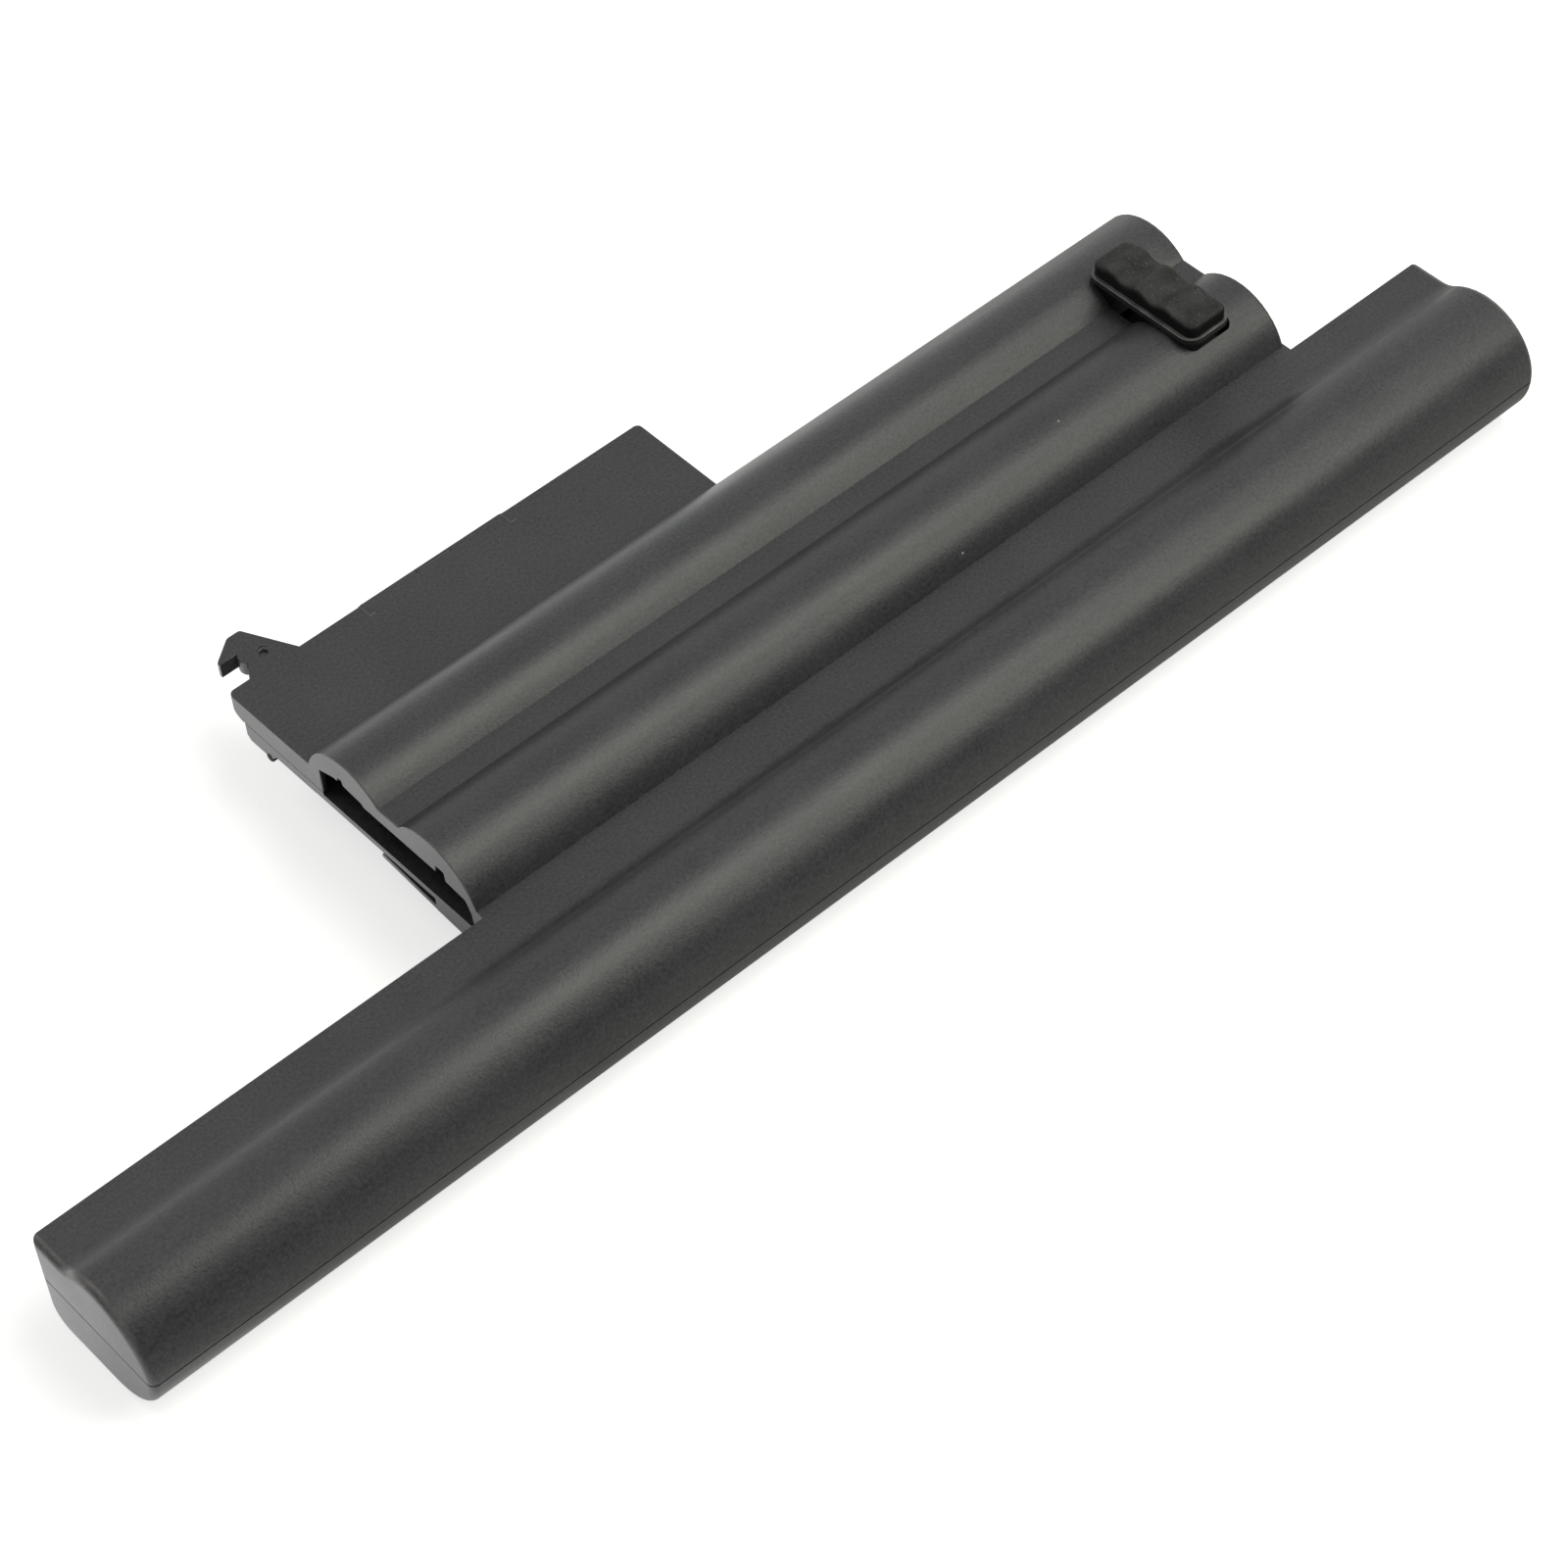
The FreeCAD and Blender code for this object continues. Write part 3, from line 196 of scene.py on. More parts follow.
def mark_painted_highlight(piece, place_gets_highlight):
    """Writes each point's share of painted highlight: full in the middle of a round, none on its borders.
    """
    rims, sheen_and_wear = (piece.vertex_groups.get(name) for name in ("rims", "sheen_and_wear"))
    share = [0.0] * len(piece.data.vertices)
    on_rim = set()
    for vertex in piece.data.vertices:
        for member in vertex.groups:
            if rims and member.group == rims.index and place_gets_highlight(vertex.co / MM):
                on_rim.add(vertex.index)
            if sheen_and_wear and member.group == sheen_and_wear.index:
                share[vertex.index] = member.weight
    inner = set(on_rim)
    for face in piece.data.polygons:
        if not on_rim.issuperset(face.vertices):
            inner.difference_update(face.vertices)
    for index in inner:
        share[index] = 1.0
    painted_highlight = piece.data.attributes.new("painted_highlight", "FLOAT", "POINT")
    painted_highlight.data.foreach_set("value", share)
    print(piece.name, "rubbed points", sum(value > 0 for value in share))


def shade(piece, highlight_where=lambda place: True):
    """Smooth shading, in which the flat faces beside a small round stay flat."""
    # The painted edge highlight is written to the points first.
    mark_painted_highlight(piece, highlight_where)
    select_only(piece)
    bpy.ops.object.shade_smooth_by_angle(angle=SMOOTH_ANGLE)
    if "rims" in piece.vertex_groups:
        weighted = piece.modifiers.new("flat faces stay flat", "WEIGHTED_NORMAL")
        weighted.keep_sharp = True
        weighted.vertex_group = "rims"
        bpy.ops.object.modifier_apply(modifier=weighted.name)


# %% [markdown]
# A material is a net of small nodes, and the same few steps return in each: a sum, a noise of a given
# width, a change of range, a mix of two colours. These helpers add one such node and hand over its
# output, so that a recipe below reads like a sentence. An effect that several materials share is
# built once, as a node group with named sockets.

# %% Node helpers
def new_group(name, inputs, outputs):
    """A node group with number sockets, and its two ends."""
    group = bpy.data.node_groups.new(name, "ShaderNodeTree")
    for label, value in inputs:
        socket = group.interface.new_socket(label, in_out="INPUT", socket_type="NodeSocketFloat")
        socket.default_value = value
    for label in outputs:
        group.interface.new_socket(label, in_out="OUTPUT", socket_type="NodeSocketFloat")
    print("node group", name, "puts out", outputs)
    return group, group.nodes.new("NodeGroupInput"), group.nodes.new("NodeGroupOutput")


def use_group(tree, group, **values):
    """Places a group in a material with its own values."""
    node = tree.nodes.new("ShaderNodeGroup")
    node.node_tree = group
    for label, value in values.items():
        node.inputs[label.replace("_", " ")].default_value = value
    return node


def calculate(tree, operation, first, second=None, third=None):
    """A math node. A number is typed in, and a socket is wired in."""
    node = tree.nodes.new("ShaderNodeMath")
    node.operation = operation
    for place, value in enumerate((first, second, third)):
        if value is None:
            continue
        if isinstance(value, (int, float)):
            node.inputs[place].default_value = value
        else:
            tree.links.new(value, node.inputs[place])
    return node.outputs[0]


def stretch(tree, socket, low, high, start=0.3, end=0.7, smooth=False):
    """Maps the middle of a noise, or another span, to the range from low to high."""
    node = tree.nodes.new("ShaderNodeMapRange")
    if smooth:
        node.interpolation_type = "SMOOTHSTEP"
    tree.links.new(socket, node.inputs["Value"])
    for label, value in (("From Min", start), ("From Max", end), ("To Min", low), ("To Max", high)):
        node.inputs[label].default_value = value
    return node.outputs["Result"]


def object_place(tree):
    """A point's place on its own object, so that a pattern stays on the piece."""
    return tree.nodes.new("ShaderNodeTexCoord").outputs["Object"]


def add_noise(tree, place, width, detail, count=1.0):
    """A noise with this many patches in the width that a socket gives."""
    noise = tree.nodes.new("ShaderNodeTexNoise")
    noise.inputs["Detail"].default_value = detail
    tree.links.new(place, noise.inputs["Vector"])
    tree.links.new(calculate(tree, "DIVIDE", count, width), noise.inputs["Scale"])
    return noise.outputs["Fac"]


def upward_share(tree):
    """How far the surface looks up: 1 on a level top, 0 on a wall."""
    split = tree.nodes.new("ShaderNodeSeparateXYZ")
    tree.links.new(tree.nodes.new("ShaderNodeNewGeometry").outputs["Normal"], split.inputs["Vector"])
    return split.outputs["Z"]


def mix_colour(tree, factor, first, second):
    """A mix of two colours, each a written colour or a socket."""
    node = tree.nodes.new("ShaderNodeMix")
    node.data_type = "RGBA"
    entries = {socket.identifier: socket for socket in node.inputs}
    for label, value in (("Factor_Float", factor), ("A_Color", first), ("B_Color", second)):
        if isinstance(value, bpy.types.NodeSocket):
            tree.links.new(value, entries[label])
        else:
            entries[label].default_value = (*value, 1.0)
    return next(socket for socket in node.outputs if socket.identifier == "Result_Color")


def add_bump(tree, shader, height, depth):
    """Feeds a height from 0 to 1, as deep as a depth, to the shader's normal."""
    bump = tree.nodes.new("ShaderNodeBump")
    bump.inputs["Distance"].default_value = depth
    tree.links.new(height, bump.inputs["Height"])
    tree.links.new(bump.outputs["Normal"], shader.inputs["Normal"])


# %% [markdown]
# The casing is moulded in dark plastic with a fine spark-eroded grain. Seen close it is a field of
# tiny soft bumps about a third of a millimetre wide, and seen from further off it only blurs the
# lamps into wide bands. A scanned picture could give it, but noise has no seams and keeps its size on
# any face. The group puts out a height for the bump, a fleck that speckles the colour, and a slow
# patch that keeps large faces from looking painted.

# %% Grain group
FLECKS_PER_BUMP = 0.7


def make_grain_group():
    group, entry, leave = new_group(
        "moulded grain", [("Bump width", 0.3 * MM), ("Patch width", 14 * MM)], ["Height", "Fleck", "Patch"])
    place = object_place(group)
    bump_width, patch_width = entry.outputs["Bump width"], entry.outputs["Patch width"]
    group.links.new(add_noise(group, place, bump_width, 2.5), leave.inputs["Height"])
    group.links.new(add_noise(group, place, bump_width, 1.0, FLECKS_PER_BUMP), leave.inputs["Fleck"])
    group.links.new(add_noise(group, place, patch_width, 3.0), leave.inputs["Patch"])
    return group


grain_group = make_grain_group()

# %% [markdown]
# A few pale specks of dust lie on the upward faces of any dark matt part. Each could be a tiny object,
# but a cell pattern scatters them for nothing: a speck is the centre of a cell, only some cells are
# chosen, by their random colour, and only where the surface looks up.

# %% Dust group
LOOKS_UP = 0.4


def make_dust_group():
    group, entry, leave = new_group(
        "dust specks", [("Spacing", 9 * MM), ("Speck width", 0.16 * MM), ("Share", 0.3)], ["Dust"])
    cells = group.nodes.new("ShaderNodeTexVoronoi")
    group.links.new(object_place(group), cells.inputs["Vector"])
    group.links.new(calculate(group, "DIVIDE", 1.0, entry.outputs["Spacing"]), cells.inputs["Scale"])
    reach = calculate(group, "MULTIPLY", cells.outputs["Distance"], entry.outputs["Spacing"])
    speck = calculate(group, "LESS_THAN", reach, entry.outputs["Speck width"])
    split = group.nodes.new("ShaderNodeSeparateColor")
    group.links.new(cells.outputs["Color"], split.inputs["Color"])
    chosen = calculate(group, "LESS_THAN", split.outputs["Red"], entry.outputs["Share"])
    level = calculate(group, "GREATER_THAN", upward_share(group), LOOKS_UP)
    picked = calculate(group, "MULTIPLY", speck, chosen)
    group.links.new(calculate(group, "MULTIPLY", picked, level), leave.inputs["Dust"])
    return group


dust_group = make_dust_group()

# %% [markdown]
# Some rounded edges get a painted highlight, a paler colour with a smoother surface, here more and
# there less. The group reads its share from the attribute of the piece, and a noise makes it uneven.

# %% Painted edge highlight group
def make_highlight_group():
    # A painted highlight: its share on each point, made uneven by a noise.
    group, entry, leave = new_group("rubbed edges", [("Patch width", 2.5 * MM)], ["Rubbed"])
    mark = group.nodes.new("ShaderNodeAttribute")
    mark.attribute_name = "painted_highlight"
    noise = add_noise(group, object_place(group), entry.outputs["Patch width"], 2.0)
    uneven = stretch(group, noise, 0.4, 1.0)
    group.links.new(calculate(group, "MULTIPLY", mark.outputs["Fac"], uneven), leave.inputs["Rubbed"])
    return group


highlight_group = make_highlight_group()

# %% [markdown]
# Every moulded material is the same recipe with its own values: a base colour that drifts from dark to
# light, a roughness that drifts a little, and the grain as a bump. Dust and a painted edge highlight
# are added where the material has them. What never varies stays a plain number on the shader's own
# socket.

# %% Moulded materials
FLECK_SHARE = 0.7
ROUGHNESS_DRIFT = 0.03
HIGHLIGHT_POLISH = 0.12
DUST_COLOUR = (0.45, 0.45, 0.44)


def new_material(name):
    """A material, its nodes and its shader."""
    material = bpy.data.materials.new(name)
    material.use_nodes = True
    print("material", name)
    return material, material.node_tree, material.node_tree.nodes["Principled BSDF"]


def moulded(name, dark, light, rough, bump_width, bump_depth, dusty=0.0, painted_highlight=None):
    """A grained surface whose colour drifts from dark to light."""
    material, tree, shader = new_material(name)
    grain = use_group(tree, grain_group, Bump_width=bump_width)
    slow = calculate(tree, "MULTIPLY", grain.outputs["Patch"], 1 - FLECK_SHARE)
    drift = calculate(tree, "MULTIPLY_ADD", grain.outputs["Fleck"], FLECK_SHARE, slow)
    colour = mix_colour(tree, stretch(tree, drift, 0.0, 1.0), dark, light)
    roughness = stretch(tree, grain.outputs["Patch"], rough - ROUGHNESS_DRIFT, rough + ROUGHNESS_DRIFT)
    if dusty:
        dust = use_group(tree, dust_group, Share=dusty)
        colour = mix_colour(tree, dust.outputs["Dust"], colour, DUST_COLOUR)
    # A painted highlight: a paler colour and a smoother surface where the points are marked.
    if painted_highlight:
        highlight = use_group(tree, highlight_group).outputs["Rubbed"]
        colour = mix_colour(tree, highlight, colour, painted_highlight)
        roughness = calculate(tree, "MULTIPLY_ADD", highlight, -HIGHLIGHT_POLISH, roughness)
    tree.links.new(colour, shader.inputs["Base Color"])
    tree.links.new(roughness, shader.inputs["Roughness"])
    add_bump(tree, shader, grain.outputs["Height"], bump_depth)
    return material


# The last colour of the casing and of the latch is its painted edge highlight.
casing = moulded("casing plastic", (0.0155, 0.016, 0.0192), (0.048, 0.0495, 0.055), rough=0.40,
                 bump_width=0.35 * MM, bump_depth=0.035 * MM, dusty=0.3, painted_highlight=(0.140, 0.133, 0.128))
latch_black = moulded("latch plastic", (0.014, 0.014, 0.015), (0.022, 0.022, 0.023), rough=0.34,
                      bump_width=0.3 * MM, bump_depth=0.008 * MM, painted_highlight=(0.13, 0.13, 0.13))
connector_black = moulded("connector plastic", (0.020, 0.020, 0.021), (0.030, 0.030, 0.031), rough=0.45,
                          bump_width=0.4 * MM, bump_depth=0.01 * MM)
chip_black = moulded("chip plastic", (0.018, 0.018, 0.019), (0.028, 0.028, 0.029), rough=0.55,
                     bump_width=0.2 * MM, bump_depth=0.01 * MM)
sleeve = moulded("cell sleeve", (0.030, 0.150, 0.220), (0.040, 0.180, 0.250), rough=0.28,
                 bump_width=2.0 * MM, bump_depth=0.01 * MM)
paper = moulded("insulating paper", (0.60, 0.58, 0.50), (0.78, 0.76, 0.68), rough=0.85,
                bump_width=0.3 * MM, bump_depth=0.03 * MM)
foam = moulded("foam tape", (0.70, 0.70, 0.68), (0.82, 0.82, 0.80), rough=0.90,
               bump_width=0.25 * MM, bump_depth=0.05 * MM)
laminate = moulded("board laminate", (0.020, 0.140, 0.060), (0.030, 0.190, 0.090), rough=0.35,
                   bump_width=0.9 * MM, bump_depth=0.006 * MM)

# %% [markdown]
# The rubber of the grip is black. Its level parts are grey, partly from fingers that polished them and
# partly a painted sheen, which makes the upward faces lighter than the sides. Fingers have also left a
# scatter of pale nicks. Paint on a texture would need an unwrapped piece, so the grey follows the
# surface instead: it lies only where the rubber looks up, a broad noise makes it uneven, and the
# highest spots of a fine noise are the nicks.

# %% Worn rubber with a painted sheen
LEVEL_RUBBER = (0.55, 0.98)


def make_wear_and_sheen_group():
    group, entry, leave = new_group(
        "worn top", [("Patch width", 3 * MM), ("Nick width", 0.22 * MM), ("Nick limit", 0.66)],
        ["Wear", "Nick"])
    place = object_place(group)
    broad = stretch(group, add_noise(group, place, entry.outputs["Patch width"], 3.0), 0.35, 1.0)
    fine = add_noise(group, place, entry.outputs["Nick width"], 3.0)
    # The grey lies on faces that look up: wear, and a painted sheen that makes the top lighter than the
    # sides.
    level = stretch(group, upward_share(group), 0.0, 1.0, *LEVEL_RUBBER)
    group.links.new(calculate(group, "MULTIPLY", level, broad), leave.inputs["Wear"])
    nick = calculate(group, "GREATER_THAN", fine, entry.outputs["Nick limit"])
    group.links.new(calculate(group, "MULTIPLY", nick, level), leave.inputs["Nick"])
    return group


def rubber_worn_with_painted_sheen(name, black, sheen_and_wear, nicked, shine, rough, bump_depth):
    """Rubber that is grey where it lies level, from wear and a painted sheen."""
    material, tree, shader = new_material(name)
    wear_and_sheen = use_group(tree, make_wear_and_sheen_group())
    grain = use_group(tree, grain_group, Bump_width=0.3 * MM)
    colour = mix_colour(tree, wear_and_sheen.outputs["Wear"], black, sheen_and_wear)
    tree.links.new(mix_colour(tree, wear_and_sheen.outputs["Nick"], colour, nicked), shader.inputs["Base Color"])
    tree.links.new(stretch(tree, grain.outputs["Patch"], *rough), shader.inputs["Roughness"])
    shader.inputs["Specular IOR Level"].default_value = shine
    add_bump(tree, shader, grain.outputs["Height"], bump_depth)
    return material


# The grey of the level rubber is wear and a painted sheen on top.
grip_rubber = rubber_worn_with_painted_sheen("grip rubber", black=(0.004, 0.004, 0.004), sheen_and_wear=(0.052, 0.052, 0.052),
                          nicked=(0.18, 0.18, 0.175), shine=0.16, rough=(0.56, 0.68),
                          bump_depth=0.05 * MM)

# %% [markdown]
# Nickel strip, gilt contacts and spring steel are rolled metal. Rolling leaves long fine scratches, so
# the noise is stretched along the strip before it reaches the colour, the roughness and the bump.

# %% Rolled metals
LINES_PER_METRE = (60, 4000, 4000)
METAL_DRIFT = 0.06
LINE_DEPTH = 0.004 * MM


def rolled(name, dark, light, rough):
    """Bare metal with fine lines along X."""
    material, tree, shader = new_material(name)
    turn = tree.nodes.new("ShaderNodeMapping")
    turn.inputs["Scale"].default_value = LINES_PER_METRE
    tree.links.new(object_place(tree), turn.inputs["Vector"])
    noise = tree.nodes.new("ShaderNodeTexNoise")
    noise.inputs["Scale"].default_value = 1.0
    noise.inputs["Detail"].default_value = 4.0
    tree.links.new(turn.outputs["Vector"], noise.inputs["Vector"])
    lines = noise.outputs["Fac"]
    tree.links.new(mix_colour(tree, lines, dark, light), shader.inputs["Base Color"])
    roughness = stretch(tree, lines, rough - METAL_DRIFT, rough + METAL_DRIFT)
    tree.links.new(roughness, shader.inputs["Roughness"])
    shader.inputs["Metallic"].default_value = 1.0
    add_bump(tree, shader, lines, LINE_DEPTH)
    return material


nickel = rolled("nickel strip", (0.58, 0.56, 0.52), (0.74, 0.72, 0.68), 0.30)
gilt = rolled("gilt contact", (0.75, 0.52, 0.20), (0.92, 0.70, 0.32), 0.24)
spring_steel = rolled("spring steel", (0.46, 0.46, 0.47), (0.62, 0.62, 0.63), 0.28)

# %% [markdown]
# The hidden pieces keep their own solids. Each takes the material of its slot in the record, so the
# pack looks right when a casing half is hidden.

# %% Materials of the solids
SOLID_SMOOTH_ANGLE = math.radians(30)
by_slot = {
    "shell_plastic": casing,
    "cell_sleeve": sleeve,
    "insulating_paper": paper,
    "nickel": nickel,
    "foam_tape": foam,
    "board_laminate": laminate,
    "chip_plastic": chip_black,
    "connector_plastic": connector_black,
    "contact_metal": gilt,
    "latch_plastic": latch_black,
    "grip_rubber": grip_rubber,
    "spring_steel": spring_steel,
}
slot_of = {row["node"]: row["material_slot"] for row in frame["record"]["subparts"]}
for name, solid in nodes.items():
    solid.data.materials.clear()
    solid.data.materials.append(by_slot[slot_of[name]])
    select_only(solid)
    bpy.ops.object.shade_smooth_by_angle(angle=SOLID_SMOOTH_ANGLE)
print("materials in use", len({slot_of[name] for name in nodes}))

# %% [markdown]
# What the eye sees are the two casing halves, the connector, and the flange and grip of the latch.
# Their broad forms are right in the solids, so each finished piece starts as a merged copy of its
# solid, rides on the same body and stands for it. The cells below only refine these copies.

# %% Stand-ins for the outer solids
def stand_in(name, body, source):
    """A merged copy of a solid, with its material, that takes its place."""
    piece = copy_solid(name, source)
    piece.data.materials.append(by_slot[slot_of[source]])
    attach(piece, body)
    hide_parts(source)
    return piece


casing_top = stand_in("casing_top", "pack", "upper_shell")
casing_bottom = stand_in("casing_bottom", "pack", "lower_shell")
slide_flange = stand_in("slide_flange", "latch", "latch_knob")
finger_grip = stand_in("finger_grip", "latch", "latch_grip")
connector_block = stand_in("connector_block", "pack", "connector_housing")

# %% [markdown]
# Seen from its end, the bar is a round hump that runs through a hollow blend into a flat ledge, above
# a flat foot with a rounded rear corner. To slide a point on its end, the script must know how deep
# the point lies inside that outline and which way is out. The nearest of the outline's arcs and lines
# answers both.

# %% Outline of the bar
BAR_END = solid_high.x / MM
BAR_RADIUS = 10.7
BAR_REAR = 14.8
BAR_SEAM = 10.0
LEDGE_TOP = 18.5
HOLLOW_RADIUS = 5.0
FOOT_RADIUS = 4.2
FOOT_CORNER = Vector((BAR_REAR - FOOT_RADIUS, FOOT_RADIUS))
HOLLOW_HEIGHT = LEDGE_TOP + HOLLOW_RADIUS
AXIS_TO_HOLLOW = BAR_RADIUS + HOLLOW_RADIUS
hollow_axis = Vector((math.sqrt(AXIS_TO_HOLLOW ** 2 - (HOLLOW_HEIGHT - BAR_RADIUS) ** 2), HOLLOW_HEIGHT))
HUMP_MEETS_HOLLOW = hollow_axis.x * BAR_RADIUS / AXIS_TO_HOLLOW
print("hollow's axis in mm", [round(value, 2) for value in hollow_axis])


def skin_of_bar(y, z):
    """How deep a point lies inside the bar's outline, and which way is out."""
    point = Vector((y, z))
    if y > FOOT_CORNER.x and z < FOOT_CORNER.y:
        from_corner = point - FOOT_CORNER
        return FOOT_RADIUS - from_corner.length, from_corner.normalized()
    if y <= HUMP_MEETS_HOLLOW and (z > BAR_RADIUS or y < 0):
        from_axis = point - Vector((0, BAR_RADIUS))
        nearest = BAR_RADIUS - from_axis.length, from_axis.normalized()
    elif z > BAR_RADIUS and y < hollow_axis.x:
        from_hollow = point - hollow_axis
        nearest = from_hollow.length - HOLLOW_RADIUS, -from_hollow.normalized()
    elif z > BAR_RADIUS:
        nearest = LEDGE_TOP - z, Vector((0, 1))
    else:
        nearest = z, Vector((0, -1))
    if y > hollow_axis.x and BAR_REAR - y < nearest[0]:
        nearest = BAR_REAR - y, Vector((1, 0))
    return nearest


# %% [markdown]
# The ends of the real bar have one even round from the ledge down to the foot. In the solids that
# round grows toward the seam. A new bevel would need the old round taken out first, so each of its
# points slides to a tighter round instead: on a round of radius r a point lies "deep" inside the skin
# and "short" of the end, both follow from r and from how far round it has turned, and only r changes.
# The round gets a painted highlight too, on its upper part and most a third of the way along it.

# %% Bar ends
END_ROUND = 1.3
SMALLEST_ROUND, LARGEST_ROUND = 0.8, 3.5
HIGHLIGHT_LOW, HIGHLIGHT_HIGH = 16.5, 19.0
HIGHLIGHT_WAVE = 3


def between(low, value, high):
    """The value, held between two limits."""
    return max(low, min(high, value))


def tighten_bar_ends(piece):
    """Slides the points of both end rounds to one even round and marks where the highlight is painted."""
    sheen_and_wear = piece.vertex_groups.new(name="sheen_and_wear")
    moved = 0
    for vertex in piece.data.vertices:
        x, y, z = vertex.co / MM
        short = BAR_END - abs(x)
        if short > LARGEST_ROUND:
            continue
        deep, out = skin_of_bar(y, z)
        short, deep = max(short, 0.0), max(deep, 0.0)
        radius = short + deep + math.sqrt(2 * short * deep)
        if not SMALLEST_ROUND < radius <= LARGEST_ROUND:
            continue
        turn = math.acos(between(-1.0, (radius - deep) / radius, 1.0))
        # The share of painted highlight: none low down, most a third of the way round.
        height_share = between(0.0, (z - HIGHLIGHT_LOW) / (HIGHLIGHT_HIGH - HIGHLIGHT_LOW), 1.0)
        sheen_and_wear.add([vertex.index], height_share * max(0.0, math.sin(HIGHLIGHT_WAVE * turn)), "REPLACE")
        if radius < END_ROUND:
            continue
        new_deep = END_ROUND * (1 - math.cos(turn))
        new_short = END_ROUND * (1 - math.sin(turn))
        place = Vector((y, z)) + out * (deep - new_deep)
        if near(z, BAR_SEAM):
            place.y = z
        vertex.co = Vector((math.copysign(BAR_END - new_short, x), place.x, place.y)) * MM
        moved += 1
    print(piece.name, "end points moved", moved)


tighten_bar_ends(casing_top)
tighten_bar_ends(casing_bottom)

# %% [markdown]
# Where the halves meet, the real pack shows a thin dark line all round. It could be drawn, but a real
# step keeps its shadow from every side: the top half stops a quarter of a millimetre short on the
# outside, or half of that round the block and the wing, and a lip behind closes the gap. So the faces
# that touch the lower half are inset to leave the lip, and their old border is lifted.

# %% Parting line
BLOCK_SEAM = 14.2
LIP_INSET = 0.3
LOOKS_DOWN = -0.99


def open_seam(piece, level, gap):
    """Insets the faces at one level to make the lip and lifts the rest of them by the gap."""
    mesh = open_mesh(piece, "FACE")
    for face in mesh.faces:
        at_seam = all(near(vertex.co.z / MM, level) for vertex in face.verts)
        face.select_set(at_seam and face.normal.z < LOOKS_DOWN)
    count = sum(face.select for face in mesh.faces)
    bmesh.update_edit_mesh(piece.data)
    bpy.ops.mesh.inset(thickness=LIP_INSET * MM, depth=0)
    mesh = bmesh.from_edit_mesh(piece.data)
    lip = {vertex for face in mesh.faces if face.select for vertex in face.verts}
    bpy.ops.mesh.select_mode(type="VERT")
    bpy.ops.mesh.select_all(action="DESELECT")
    for vertex in mesh.verts:
        vertex.select_set(near(vertex.co.z / MM, level) and vertex not in lip)
    bmesh.update_edit_mesh(piece.data)
    bpy.ops.transform.translate(value=(0, 0, gap * MM))
    bpy.ops.object.mode_set(mode="OBJECT")
    print(piece.name, "seam at", level, "mm opened on", count, "faces")


open_seam(casing_top, BAR_SEAM, gap=0.24)
open_seam(casing_top, BLOCK_SEAM, gap=0.13)

# %% [markdown]
# The rounds are given by place, each as wide as the real one. The wing's outline has a wider one than
# the end of the block, the flange of the latch only a fine one, and the rubber of the grip is soft all
# round its top. The slits of the keys and the finger mark stay sharp. Of these edges of the casing,
# only the end of the block and the wing beside it get a painted highlight, and so does the flange's rim.

# %% Small rounds
BLOCK_START = -56.0
WING_HEIGHT = 18.5
WING_REAR = 74.4
FAR_HUMP = 53.0
SLITS_LEFT, SLITS_RIGHT = -32.2, -2.4
SLIT_DEPTH = 3.3
OUTLINE_REACH = 0.1
BLOCK_END_FLOOR = 16.0
BLOCK_END_REAR = 56.0
GRIP_SIDE_TOP = 28.0
HIGHLIGHT_REACH = 0.6
REAR_WITHOUT_HIGHLIGHT = 1.0
FLANGE_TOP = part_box("latch_knob")[1].z / MM


def beside_slits(place):
    """True round the key slits and the finger mark in the wing's rear edge."""
    return place.y > WING_REAR - SLIT_DEPTH and SLITS_LEFT < place.x < SLITS_RIGHT


def on_wing_outline(place):
    at_top = near(place.z, WING_HEIGHT, OUTLINE_REACH)
    return at_top and place.y > FAR_HUMP and not beside_slits(place)


def on_block_end(place):
    return near(place.x, BLOCK_START) and place.z > BLOCK_END_FLOOR and place.y < BLOCK_END_REAR


# The casing's rounds that get a painted highlight.
def on_highlighted_end(place):
    return place.x < BLOCK_START + HIGHLIGHT_REACH and place.y < WING_REAR - REAR_WITHOUT_HIGHLIGHT


round_edges(casing_top, 0.30 * MM, on_wing_outline)
round_edges(casing_top, 0.22 * MM, on_block_end, angle=50)
round_edges(slide_flange, 0.14 * MM, lambda place: near(place.z, FLANGE_TOP))
round_edges(finger_grip, 0.75 * MM, lambda place: place.z > GRIP_SIDE_TOP, segments=4)
shade(casing_top, highlight_where=on_highlighted_end)
for piece in (casing_bottom, connector_block, slide_flange, finger_grip):
    shade(piece)

# %% [markdown]
# Four small things sit on the wing. Two L-shaped keys of the connector fill the slits in its rear
# edge, and a short rib lies in the finger mark between them. Two boxes could be joined to an L, but it
# grows as well from one small square, by extruding an edge of it: first sideways, then to the rear. The
# whole outline is then extruded up, and its top edge is rounded so that it draws a pale line.

# %% Keys and rib
KEY_LEFT = (-31.7, -4.4)
KEY_FRONT = 71.5
KEY_WIDTH = 0.34
KEY_LEG = 1.44
KEY_LOW = 17.5
SLIT_PLAY = 0.03
KEY_SHORT_OF_REAR = 0.1
MARK_TOP = WING_HEIGHT + 0.05
RIB_LEFT, RIB_RIGHT, RIB_FRONT = -20.8, -14.4, 73.66
RIB_DEPTH = 0.28
MARKS_HIGHLIGHT = 0.55


